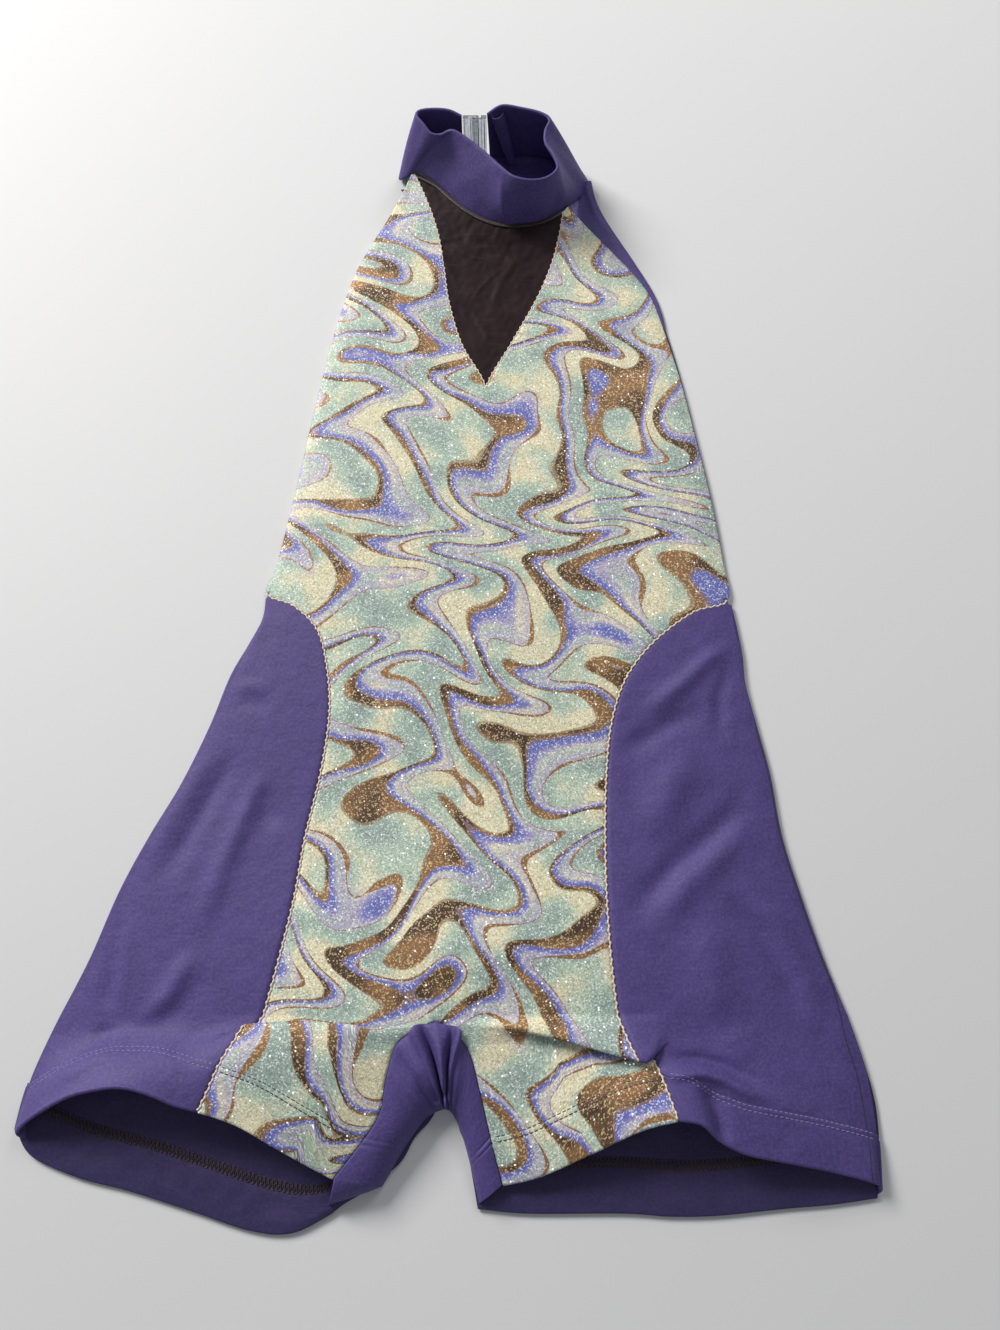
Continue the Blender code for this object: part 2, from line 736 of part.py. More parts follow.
def trimmed(grid, first_gap, last_gap, first_pleat=0, last_pleat=0):
    """Grid whose first and last columns are drawn in along each row, to leave a seam's gap.

    The gap is wider over the pleat's rows, where the folded layers slide past each other.
    """
    wider = (PLEATED_SEAM_GAP - SEAM_GAP) / 2.0
    result = []
    for row, line in enumerate(grid):
        line = list(line)
        if first_gap:
            gap = first_gap + (wider if 0 < row <= first_pleat else 0.0)
            line[0] = shifted(line[0], line[1], gap)
        if last_gap:
            gap = last_gap + (wider if 0 < row <= last_pleat else 0.0)
            line[-1] = shifted(line[-1], line[-2], gap)
        result.append(line)
    return result


def front_grids():
    """Grids of the print panel and of the two side panels, which share their seam curves."""
    left_print, right_print, left_side, right_side = [], [], [], []
    for position in section_positions(0, CROTCH_ROW):
        outer_left, centre_left, centre_right, outer_right = print_edges(position)
        left_print.append(row_between(outer_left, centre_left, HALF_COLUMNS))
        right_print.append(row_between(centre_right, outer_right, HALF_COLUMNS))
        if position > SEAM_CORNER_ROW:
            values = along(SIDE_SECTIONS, position - SEAM_CORNER_ROW)
            left_out = Vector((values[0], values[1], 0.0))
            right_out = Vector((values[2], values[3], 0.0))
            left_side.append(row_between(left_out, outer_left, SIDE_COLUMNS))
            right_side.append(row_between(outer_right, right_out, SIDE_COLUMNS))
    left_pleat = (LEFT_PLEAT, LEFT_PLEAT_AMOUNT, LEFT_PLEAT_EDGE, LEFT_FOLD_EDGE)
    right_pleat = (RIGHT_PLEAT, RIGHT_PLEAT_AMOUNT, RIGHT_PLEAT_EDGE, RIGHT_FOLD_EDGE)
    left_leg = leg_grids(
        LEFT_LEG_EDGES, LEFT_HEM, LEFT_HEM_SEAM, left_side[-1], left_print[-1], left_pleat
    )
    right_leg = leg_grids(
        RIGHT_LEG_EDGES,
        RIGHT_HEM,
        RIGHT_HEM_SEAM,
        right_side[-1][::-1],
        right_print[-1][::-1],
        right_pleat,
    )
    right_leg = [[line[::-1] for line in grid] for grid in right_leg]
    return left_print, right_print, left_side, right_side, left_leg, right_leg


def make_front(grids, materials, home, collection):
    """Make the print panel and the two side panels."""
    left_print, right_print, left_side, right_side, left_leg, right_leg = grids
    gap = SEAM_GAP / 2.0
    left_rows = len(LEFT_PLEAT)
    right_rows = len(RIGHT_PLEAT)
    corner = SEAM_CORNER_ROW
    left_waist = trimmed(left_print[corner:], gap, 0.0)
    right_waist = trimmed(right_print[corner:], 0.0, gap)
    left_part = trimmed(left_leg[1], gap, gap, first_pleat=left_rows)
    right_part = trimmed(right_leg[1], gap, gap, last_pleat=right_rows)
    left_waist[0] = left_print[corner]
    right_waist[0] = right_print[corner]
    left_part[0] = left_waist[-1]
    right_part[0] = right_waist[-1]
    print_grids = [left_print[: corner + 1], right_print[: corner + 1], left_waist, right_waist]
    print_grids += [left_part, right_part]
    cloth_object("front_print_panel", print_grids, WALL, materials["print"], home, collection)
    left_grids = [trimmed(left_side, 0.0, gap)]
    left_grids.append(trimmed(left_leg[0], 0.0, gap, last_pleat=left_rows))
    left_grids[1][0] = left_grids[0][-1]
    cloth_object("side_panel_left", left_grids, WALL, materials["navy"], home, collection)
    right_grids = [trimmed(right_side, gap, 0.0)]
    right_grids.append(trimmed(right_leg[0], gap, 0.0, first_pleat=right_rows))
    right_grids[1][0] = right_grids[0][-1]
    cloth_object("side_panel_right", right_grids, WALL, materials["navy"], home, collection)


def collar_foot(station, clearance):
    """Plan point just outside the collar's bottom edge at a fractional rib."""
    here = along(COLLAR_RIBS, station)
    before = along(COLLAR_RIBS, station - COLLAR_FOOT_STEP)
    after = along(COLLAR_RIBS, station + COLLAR_FOOT_STEP)
    run = Vector((after[0] - before[0], after[1] - before[1], 0.0)).normalized()
    return Vector((here[0], here[1], 0.0)) + Vector((run.y, -run.x, 0.0)) * clearance


def make_mesh_inset(material, home, collection):
    """Make the V of mesh under the collar, its top edge bowed along the collar's seam."""
    first, last = MESH_RIM_STATIONS
    grid = []
    for position in section_positions(0, V_TIP_ROW):
        position = min(position, MESH_TIP_POSITION)
        _, start, end, _ = print_edges(position)
        start = shifted(start, end, MESH_SIDE_GAP)
        end = shifted(end, start, MESH_SIDE_GAP)
        bow = max(1.0 - position / MESH_RIM_FADE, 0.0)
        line = []
        for column in range(MESH_COLUMNS + 1):
            over = column / MESH_COLUMNS
            rim = collar_foot(first + (last - first) * over, RIM_CLEARANCE)
            chord = collar_foot(first, RIM_CLEARANCE).lerp(collar_foot(last, RIM_CLEARANCE), over)
            point = start.lerp(end, over) + (rim - chord) * bow
            line.append(on_front(point.x, point.y))
        grid.append(line)
    cloth_object("neck_mesh_inset", [grid], MESH_WALL, material, home, collection)


def seam_stations(edge, first, last):
    """Fractional table rows of the points of a seam, by their share of its length."""
    lengths = [0.0]
    for before, after in zip(edge, edge[1:]):
        lengths.append(lengths[-1] + (after - before).length)
    return [first + (last - first) * length / lengths[-1] for length in lengths]


def make_inner_leg_strip(left_seam, right_seam, material, home, collection):
    """Make the strip that runs round the crotch, from the print's inner seams to the back panel."""
    last = len(STRIP_SECTIONS) - 1
    middle = last / 2.0
    seam = left_seam[::-1] + right_seam[1:]
    stations = seam_stations(left_seam[::-1], 0.0, middle)
    stations += seam_stations(right_seam, middle, last)[1:]
    grid = []
    for start, station in zip(seam, stations):
        floor_x, floor_y, crest = along(STRIP_SECTIONS, station)
        floor = Vector((floor_x, floor_y, REST_Z))
        start = shifted(start, floor, STRIP_SEAM_GAP)
        gather = sum(
            height * math.exp(-(((station - place) / GATHER_HALF_WIDTH) ** 2))
            for place, height in STRIP_GATHERS
        )
        line = []
        for column in range(STRIP_COLUMNS + 1):
            over = column / STRIP_COLUMNS
            drop = math.cos(over * math.pi / 2.0)
            reach = math.sin(over * math.pi / 2.0)
            swell = math.sin(over * math.pi)
            line.append(
                Vector(
                    (
                        start.x + (floor.x - start.x) * reach,
                        start.y + (floor.y - start.y) * reach,
                        REST_Z + (start.z - REST_Z) * drop + (crest + gather) * swell,
                    )
                )
            )
        grid.append(line)
    cloth_object("crotch_gusset", [grid], WALL, material, home, collection, flip=True)


def make_collar(material, home, collection):
    """Make the standing collar band as one wall through its ribs."""
    last = len(COLLAR_RIBS) - 1
    grid = []
    for step in range(last * COLLAR_STEPS + 1):
        station = step / COLLAR_STEPS
        values = along(COLLAR_RIBS, station)
        bottom = Vector(values[0:3])
        top = Vector(values[3:6])
        after = along(COLLAR_RIBS, min(station + COLLAR_RUN_STEP, last))
        before = along(COLLAR_RIBS, max(station - COLLAR_RUN_STEP, 0.0))
        run = Vector((after[0] - before[0], after[1] - before[1], 0.0)).normalized()
        outward = Vector((run.y, -run.x, 0.0))
        line = []
        for row in range(COLLAR_ROWS + 1):
            up = row / COLLAR_ROWS
            bulge = values[6] * math.sin(math.pi * up)
            line.append(bottom.lerp(top, up) + outward * bulge)
        grid.append(line)
    cloth_object("collar", [grid], COLLAR_WALL, material, home, collection)


def inset_band(corners, depth):
    """Closed outline of a turned-up hem: the hem's edge and a line a hem's depth inside it."""
    first, last = corners
    edge = [Vector(point) for point in BACK_OUTLINE[first : last + 1]]
    middle = sum(edge, Vector((0.0, 0.0))) / len(edge)
    for end, inner_point in ((0, 1), (-1, -2)):
        share = HEM_END_INSET / (edge[inner_point] - edge[end]).length
        edge[end] = edge[end].lerp(edge[inner_point], min(share, HEM_END_MOST_SHARE))
    outer = []
    inner = []
    for index, point in enumerate(edge):
        before = edge[max(index - 1, 0)]
        after = edge[min(index + 1, len(edge) - 1)]
        along_edge = (after - before).normalized()
        inward = Vector((-along_edge.y, along_edge.x))
        side = (middle - point).normalized() * HEM_INSET
        outer.append(point + side)
        inner.append(point + side * 2.0 + inward * depth)
    return [tuple(point) for point in outer + inner[::-1]]


def rounded_outline(points):
    """Closed outline with a smooth in-between point on each side of the polygon."""
    count = len(points)
    result = []
    for index, point in enumerate(points):
        four = [points[(index + step) % count] for step in (-1, 0, 1, 2)]
        result.append(point)
        result.append(tuple(along(four, 1.5)))
    return result


def make_back(material, home, collection, cutters):
    """Make the flat back panel with its turned-up leg hems joined on top."""
    outline = rounded_outline(BACK_OUTLINE)
    back = meshed(flat_curve("back_panel", outline, WALL, collection), collection)
    for name, corners in (("left_hem_turn", LEFT_HEM_CORNERS), ("right_hem_turn", RIGHT_HEM_CORNERS)):
        outline = inset_band(corners, HEM_DEPTH)
        band = flat_curve(name, outline, WALL - SEAM_GAP + HEM_OVERLAP, cutters, WALL - HEM_OVERLAP)
        band = meshed(band, cutters)
        band.hide_render = True
        band.display_type = "WIRE"
        band.parent = home
        union = back.modifiers.new(name, "BOOLEAN")
        union.operation = "UNION"
        union.object = band
    return finished(back, material, home)


def make_clasp(material, home, collection):
    """Make the two hooked halves of the clasp, leaning with the collar's ends."""
    for name, outline in (("clasp_hook_half", HOOK_OUTLINE), ("clasp_eye_half", EYE_OUTLINE)):
        half = flat_curve(name, outline, CLASP_HEIGHT, collection)
        half.location = (
            CLASP_MIDDLE_X * MM,
            CLASP_MIDDLE_Y * MM,
            (CLASP_BOTTOM_Z + CLASP_HEIGHT / 2.0) * MM,
        )
        half.rotation_euler.x = CLASP_LEAN
        finished(meshed(half, collection), material, home)


def main():
    """Build the garment in its own collection, parented to one frame."""
    clear_scene()
    pieces = new_collection("athletic_leotard")
    cutters = new_collection("cutters")
    home = bpy.data.objects.new("leotard_frame", None)
    home.location = (CENTRE_X * MM, CENTRE_Y * MM, 0.0)
    pieces.objects.link(home)
    materials = {
        "navy": make_material("navy_spandex", NAVY, 0.55),
        "print": make_material("glitter_print", MINT, 0.40),
        "mesh": make_material("sheer_mesh", MESH_BROWN, 0.60),
        "clear": make_material("clear_plastic", CLEAR, 0.15),
    }
    make_back(materials["navy"], home, pieces, cutters)
    grids = front_grids()
    left_seam = [line[-1] for line in grids[4][1]]
    right_seam = [line[0] for line in grids[5][1]]
    make_front(grids, materials, home, pieces)
    make_mesh_inset(materials["mesh"], home, pieces)
    make_inner_leg_strip(left_seam, right_seam, materials["navy"], home, pieces)
    make_collar(materials["navy"], home, pieces)
    make_clasp(materials["clear"], home, pieces)


main()
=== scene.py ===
"""Looks of a child's halter-neck biketard in glitter print and navy spandex, laid on a pale table.

Sizes in the tables are in millimetres on the table: x to the right, y toward the neck, z up.  Every
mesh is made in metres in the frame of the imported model.
"""

import logging
import math
from dataclasses import dataclass, field
from enum import Enum
from typing import Any, Iterable, Mapping, Optional, Sequence, Union

import bmesh
import bpy
import numpy as np
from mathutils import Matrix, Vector


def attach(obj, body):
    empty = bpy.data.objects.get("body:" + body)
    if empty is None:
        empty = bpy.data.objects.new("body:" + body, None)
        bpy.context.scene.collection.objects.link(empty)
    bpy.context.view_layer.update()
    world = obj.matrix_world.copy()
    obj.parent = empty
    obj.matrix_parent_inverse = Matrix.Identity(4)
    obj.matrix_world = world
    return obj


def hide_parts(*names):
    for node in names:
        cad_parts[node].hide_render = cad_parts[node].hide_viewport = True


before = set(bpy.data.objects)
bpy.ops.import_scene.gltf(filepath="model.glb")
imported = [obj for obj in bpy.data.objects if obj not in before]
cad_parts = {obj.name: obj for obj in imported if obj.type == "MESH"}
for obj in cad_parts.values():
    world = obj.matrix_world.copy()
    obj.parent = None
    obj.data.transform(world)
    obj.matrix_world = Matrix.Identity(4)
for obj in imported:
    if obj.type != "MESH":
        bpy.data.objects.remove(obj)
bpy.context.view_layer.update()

Array = np.ndarray
Colour = tuple[float, float, float]
Table = Sequence[Sequence[float]]
Solid = tuple[Array, list]
Amount = Union[float, Array]
Piece = bpy.types.Object
Material = bpy.types.Material
Socket = bpy.types.NodeSocket
Inputs = Mapping[Union[str, int], Any]

LOG = logging.getLogger("leotard")
MM = 0.001
CM_IN_A_METRE = 100.0
TINY = 1e-9
FAR = 1e9
CENTRE = (-0.2, 6.5, 0.0)
REST_Z = 2.1
EDGE_ROLL = 13.0
TORSO_LOFT = 2.4
COLLAR_LIFT = 7.5
COLLAR_LIFT_START = 2.0
COLLAR_LIFT_REACH = 20.0
CROTCH_LIFT = 8.6
LEG_LIFT_TOP = -95.0
APEX_Y = -213.0
V_TIP_ROW = 7
SEAM_CORNER_ROW = 11
CROTCH_ROW = 20
PLEAT_FADE = 1.1
PLEAT_TURN = 1.5
PLEAT_MOST_SHARE = 0.9
LEG_EDGE_SAMPLES = 41
HEM_LINES = (17.4, 19.7)
FOLD_STEPS = 5
ROLL_ANGLE = 170.0
PANEL_WELD = 0.05
FOLD_TURNS = (0.25, 0.5, 0.75)
COLLAR_FOOT_SAMPLES = 97
RIPPLE_WAVES = 5
GOLDEN_ANGLE = 2.399
LIT_SPOT = (0.0, -0.05, 0.0)

# Print panel: left edge, the two centre edges and right edge of each section, as x and y
PRINT_SECTIONS: Table = (
    (-29.2, 266, -27.6, 265.4, 60.6, 236.6, 64, 241), (-35.2, 254.5, -22, 252.6, 59.5, 229, 71.5, 233),
    (-43.2, 238.6, -16.2, 236, 57.7, 219, 80.5, 224), (-52.2, 221.5, -12.1, 220, 55, 207.5, 89.5, 214),
    (-60.4, 203, -9.2, 201, 50.5, 194, 99.5, 202), (-66.9, 180, -6, 178, 43.4, 177, 111, 184),
    (-73.4, 150, 1.8, 149.5, 29.6, 149.5, 119, 156), (-78.1, 121, 15.6, 121, 15.6, 121, 125.6, 127),
    (-82.6, 92, 14, 93, 14, 93, 131, 96), (-88.4, 52, 10.5, 52, 10.5, 52, 137.9, 53),
    (-94.6, 16, 7.5, 15, 7.5, 15, 142, 16), (-98.8, -2, 6, -3, 6, -3, 142.6, -6),
    (-84, -9.6, 5.5, -13, 5.5, -13, 123.8, -13.4), (-71.1, -22.8, 5, -25.5, 5, -25.5, 102, -30.4),
    (-65, -42, 4, -45.5, 4, -45.5, 87.2, -50), (-62.2, -68, 3, -70.5, 3, -70.5, 79.2, -73.8),
    (-65, -99, 1.6, -100, 1.6, -100, 75.8, -101), (-70.4, -130, 0, -130, 0, -130, 74.2, -130),
    (-73.3, -158, -1.8, -158.5, -1.8, -158.5, 73.8, -158.5),
    (-78.2, -186, -3.6, -187, -3.6, -187, 74.7, -186), (-83.4, -211, -4.9, -213, -4.9, -213, 76.6, -211),
)
# Outer edges of the side panels, from the seam corner down: left x, y, right x, y
SIDE_SECTIONS: Table = (
    (-99.1, -4.2, 144.4, -8), (-100.2, -17, 146.4, -20), (-106.6, -31, 148.2, -36),
    (-114.4, -47.5, 148.6, -52), (-122.4, -73.5, 152.8, -74), (-133.6, -102.6, 157.4, -99),
    (-147, -129, 160.6, -129), (-158.4, -155, 166.8, -156), (-168.8, -186.5, 174.9, -185.6),
    (-179.4, -212, 183.2, -210.5),
)
# Silhouette of the whole garment: y, left x, right x
SILHOUETTE: Table = (
    (290, -28, 66), (254.5, -35.2, 78), (221.5, -52.2, 92), (203, -60.4, 103),
    (180, -66.9, 114), (121, -78.1, 127.6), (52, -88.4, 138.4), (-3, -98.9, 143.4),
    (-31, -106.6, 148.2), (-73.5, -122.4, 152.8), (-129, -147, 160.6), (-186, -168.7, 174.9),
    (-212, -179.4, 183.2), (-260, -192, 191),
)
# Legs below the crotch row: outer x, y; seam x, y, z; inner x, y, z
LEFT_LEG_EDGES: Table = (
    (-179.4, -212, -83.4, -211, 9, -4.9, -213, 13.6), (-184, -224, -91.6, -221, 12.6, -21.5, -221.8, 13.8),
    (-188, -236, -97.8, -231, 16, -26.9, -236.5, 14), (-190.6, -248, -102.6, -241, 18.4, -30.6, -254, 13.4),
    (-191.8, -260, -106.9, -249.5, 20, -48.4, -277.2, 11),
)
RIGHT_LEG_EDGES: Table = (
    (183.2, -210.5, 76.6, -211, 9, -4.9, -213, 13.6), (186.5, -222, 82.6, -221, 11, 8.6, -224.4, 12.6),
    (190, -238, 90, -231.5, 14.5, 14.4, -242, 11.2), (191.2, -258, 95.5, -242.5, 19, 19.6, -262.5, 9),
    (190.4, -280.5, 99.8, -252.8, 22, 24.6, -280.4, 6.2),
)
# Hem of each leg's front, from the outer edge to the inner seam: x, y, z
LEFT_HEM: Table = (
    (-191.8, -260, 2.1), (-182.2, -252.8, 11.5), (-165.1, -243.6, 20), (-149, -239.6, 24),
    (-137.8, -239.2, 25), (-127, -242.2, 24), (-117, -246.6, 22), (-106.9, -249.5, 20),
    (-90.3, -254.8, 19), (-73.3, -263.8, 17), (-60, -271, 14.2), (-48.4, -277.2, 11),
)
RIGHT_HEM: Table = (
    (190.4, -280.5, 2.1), (180, -277.4, 6.8), (164, -273.6, 10.6), (148, -270.4, 13.4),
    (130, -266.8, 16.4), (119, -261.4, 19), (110, -254.2, 22.4), (99.8, -252.8, 22),
    (84, -256.8, 20.2), (63, -266.4, 15.2), (41, -276.2, 9.6), (24.6, -280.4, 6.2),
)
# Pleats down a leg: open distance, folded distance, rise, slide
LEFT_PLEAT: Table = (
    (0, 0, 0, 0), (2, 5, 0, 1), (4, 10, 0.1, 2), (6, 12.2, 1.15, 1),
    (8, 10, 2.2, -1), (10, 5.6, 2.3, -3), (12, 3.3, 3.4, -4.6), (14, 5.6, 4.5, -4.4), (17, 11, 4.6, -2.4),
)
RIGHT_PLEAT: Table = (
    (0, 0, 0, 0), (3, 4, 2.6, -1.4), (6, 13, 4.6, -4.2), (9, 15.2, 3.5, -4.8),
    (11.5, 13, 2.4, -3.6), (13.5, 8.5, 1.4, -2), (15.5, 6.3, 0.3, 0), (17.5, 8.5, -0.8, 1.8),
    (20, 14, -0.8, 2.4),
)
# Where each pleat's visible edge lies, and how far it is folded: x on the crotch row, value
LEFT_PLEAT_EDGE: Table = (
    (-150, 8), (-95, 4.7), (-84, 3.3), (-55, 3.3), (-34, 5.4), (-20, 9),
)
RIGHT_PLEAT_EDGE: Table = (
    (8, 5), (27, 7.5), (47, 14.5), (66, 20.5), (77, 22.6), (84, 27), (92, 31),
    (104, 32), (129, 33), (144, 34), (163, 36),
)
LEFT_PLEAT_AMOUNT: Table = (
    (-179.4, 0), (-128, 0), (-100, 0.12), (-83.4, 0.85), (-60, 1), (-34, 0.95), (-20, 0.45), (-4.9, 0),
)
RIGHT_PLEAT_AMOUNT: Table = (
    (-4.9, 0), (16, 0.3), (34, 0.85), (60, 1), (76.6, 1), (80, 0.95), (85, 0.7),
    (91, 0.35), (98, 0.08), (104, 0), (183.2, 0),
)
# Inner-leg strip: floor x, y, crest rise
STRIP_SECTIONS: Table = (
    (-28.2, -281.6, 1), (-17.6, -264.6, 1.5), (-9.6, -254.6, 1.9), (-4, -251.4, 2.2),
    (-0.2, -250.8, 2.4), (3, -253.6, 1.8), (6.4, -260.4, 1.3), (10.2, -272, 1), (14.4, -288.6, 0.8),
)
# Collar ribs: bottom x, y, z, top x, y, z, outward bulge
COLLAR_RIBS: Table = (
    (0.4, 283.4, 0.3, 1, 280.4, 38, 0), (-9, 284.6, 0.2, -6, 283, 39.6, 0.6),
    (-20.5, 283.6, 0.2, -15, 283.4, 40, 1), (-30.6, 279.4, 0.2, -22.6, 282.4, 40, 1.2),
    (-36.6, 273.6, 1, -24.4, 278.6, 40, 1), (-37, 269, 2.4, -20.6, 273, 39, 0.4),
    (-33.4, 267, 6.6, -16.2, 268.4, 37.4, -0.4), (-27.4, 267, 11.4, -10.6, 267.8, 37, -0.6),
    (-20, 262.6, 12, -4.6, 269.6, 38.6, 0.4), (-12.3, 256.8, 11.4, 1.6, 266, 38.4, 1),
    (-3.3, 246.8, 10.6, 10, 259.4, 37.4, 1.4), (6, 238.2, 10, 17.4, 252, 37, 1.6),
    (17.6, 231.2, 9.6, 24.4, 244.4, 37, 1.6), (29.4, 228.4, 9.4, 30.6, 238, 37, 1.4),
    (40.4, 229.2, 9.4, 40.4, 235.4, 37, 1.2), (50.6, 232.6, 9.6, 49.8, 236.8, 37, 1),
    (60.4, 240, 9.4, 56.2, 243.2, 37.4, 0.8), (67.6, 249, 6.2, 54, 252.4, 38, 0.4),
    (73.8, 258.6, 2.6, 49.6, 260.6, 38.4, -0.4), (76.2, 267, 1.7, 49.8, 268.6, 39, -0.2),
    (73, 275.6, 0.4, 52, 275.8, 40, 0.6), (63, 282.2, 0.2, 46.6, 281, 40, 1),
    (48, 285.4, 0.2, 35.4, 284.2, 40, 1), (31, 286.2, 0.2, 24.4, 286, 40, 0.4),
    (17.4, 284.6, 0.2, 16.4, 281.8, 38, 0),
)
# Back panel outline, counter-clockwise from the left hem corner
BACK_OUTLINE: Table = (
    (-191.6, -260.4), (-183.6, -270.2), (-162, -278.6), (-139.4, -283.8), (-112.2, -291.4), (-85.3, -299.2),
    (-67.8, -300.4), (-53.1, -294.4), (-44.9, -289), (-36.4, -284.4), (-27.2, -283), (-20.8, -272.8),
    (-14.6, -262.8), (-7.6, -255.4), (-2.4, -252.2), (0.2, -251.8), (2.2, -252.6), (5.2, -258.6),
    (9.2, -268.4), (13.8, -290.8), (35.6, -292.6), (77.3, -292.6), (98.2, -293.8), (119.2, -293.4),
    (147.3, -290.8), (168.4, -289.2), (188.6, -286.6), (192.2, -280), (192.4, -258), (190.6, -238),
    (183.6, -210.5), *(row[2:] for row in SIDE_SECTIONS[8:2:-1]), (148.2, -33), (144, -6), (143.6, 16),
    (139.6, 53), (132.8, 96), (127.6, 127), (121.6, 156), (113.4, 187), (101.6, 210), (90.6, 229),
    (83.8, 241), (79.6, 252), (77.6, 265), (58.6, 260), (54, 236), (50, 214), (44, 192), (34.6, 173),
    (20, 162), (6.4, 168), (-2.6, 186), (-8, 208), (-12, 232), (-15.6, 260), (-36.8, 267.6), (-36.4, 258),
    *(row[:2] for row in PRINT_SECTIONS[2:11]), *(row[:2] for row in SIDE_SECTIONS), (-188, -236),
)


def spline(table: Union[Table, Array], positions: Amount) -> Array:
    """Read a table at fractional rows, on a Catmull-Rom curve through its rows.

    Args:
        table: Rows of numbers.
        positions: Fractional row numbers.

    Returns:
        One row of values for each position.
    """
    rows = np.asarray(table, dtype=float)
    at = np.atleast_1d(np.asarray(positions, dtype=float))
    last = len(rows) - 1
    index = np.clip(at.astype(int), 0, last - 1)
    part = (at - index)[:, None]
    before, start = rows[np.maximum(index - 1, 0)], rows[index]
    end, after = rows[index + 1], rows[np.minimum(index + 2, last)]
    return 0.5 * (
        2.0 * start
        + (end - before) * part
        + (2.0 * before - 5.0 * start + 4.0 * end - after) * part**2
        + (3.0 * start - before - 3.0 * end + after) * part**3
    )


def eased(value: Amount) -> Array:
    """Ease from 0 to 1, held outside that range."""
    held = np.clip(value, 0.0, 1.0)
    return held * held * (3.0 - 2.0 * held)


def lookup(table: Table, value: Array) -> Array:
    """Interpolate the second column of a table whose first column rises."""
    rows = np.asarray(table, dtype=float)
    return np.interp(value, rows[:, 0], rows[:, 1])


def unit(vectors: Array) -> Array:
    """Vectors of length 1 in the same directions."""
    return vectors / np.maximum(np.linalg.norm(vectors, axis=-1, keepdims=True), TINY)


def bell(distance: Array, width: float) -> Array:
    """Bell curve, 1 at distance 0 and almost 0 from twice the width on."""
    return np.exp(-((distance / width) ** 2))


def arc_lengths(points: Array) -> Array:
    """Length along a line of points from its first one to each."""
    steps = np.linalg.norm(np.diff(points, axis=0), axis=-1)
    return np.concatenate([[0.0], np.cumsum(steps)])


def at_lengths(points: Array, lengths: Amount) -> Array:
    """Points of a line at given lengths along it."""
    along = arc_lengths(points)
    return np.stack([np.interp(lengths, along, column) for column in points.T], axis=-1)


def even_line(points: Array, spacing: float) -> Array:
    """A line of points drawn again at an even spacing.

    Args:
        points: The line's points.
        spacing: The wanted distance between two points.

    Returns:
        The new points, both ends kept.
    """
    total = arc_lengths(points)[-1]
    count = max(int(round(total / spacing)), 1)
    return at_lengths(points, np.linspace(0.0, total, count + 1))


def ripple(points: Array, size: float, seed: float) -> Array:
    """Smooth unevenness of about plus or minus 1 over a plan.

    Args:
        points: Plan points.
        size: The usual distance between two swells.
        seed: A number that sets the layout.

    Returns:
        One height for each point.
    """
    total = np.zeros(points.shape[:-1])
    turn = 2.0 * math.pi / size
    for number in range(RIPPLE_WAVES):
        angle = seed * 1.7 + number * GOLDEN_ANGLE
        push = math.cos(angle) * points[..., 0] + math.sin(angle) * points[..., 1]
        side = math.cos(angle + 1.1) * points[..., 0] + math.sin(angle + 1.1) * points[..., 1]
        bend = 1.3 * np.sin(side * turn * 0.45 + seed)
        total += np.sin(push * turn * (0.7 + 0.15 * number) + bend + number)
    return total / RIPPLE_WAVES


@dataclass(frozen=True)
class Crease:
    """One soft ridge or trough of the cloth, along a line on the plan."""

    line: tuple[tuple[float, float], ...]
    width: float
    height: float
    fade: float = 0.3

    def lift(self, plan: Array) -> Array:
        """Height that the crease adds at plan points.

        Args:
            plan: Plan points.

        Returns:
            One height for each point.
        """
        points = np.asarray(self.line, dtype=float)
        lengths = arc_lengths(points)
        nearest = np.full(plan.shape[:-1], FAR)
        share = np.zeros(plan.shape[:-1])
        for index in range(len(points) - 1):
            run = points[index + 1] - points[index]
            offset = plan - points[index]
            part = np.clip((offset @ run) / max(float(run @ run), TINY), 0.0, 1.0)
            away = np.linalg.norm(offset - part[..., None] * run, axis=-1)
            closer = away < nearest
            nearest = np.where(closer, away, nearest)
            at = (lengths[index] + part * np.linalg.norm(run)) / lengths[-1]
            share = np.where(closer, at, share)
        ends = eased((np.minimum(share, 1.0 - share) + 0.02) / self.fade)
        return self.height * ends * bell(nearest, self.width)


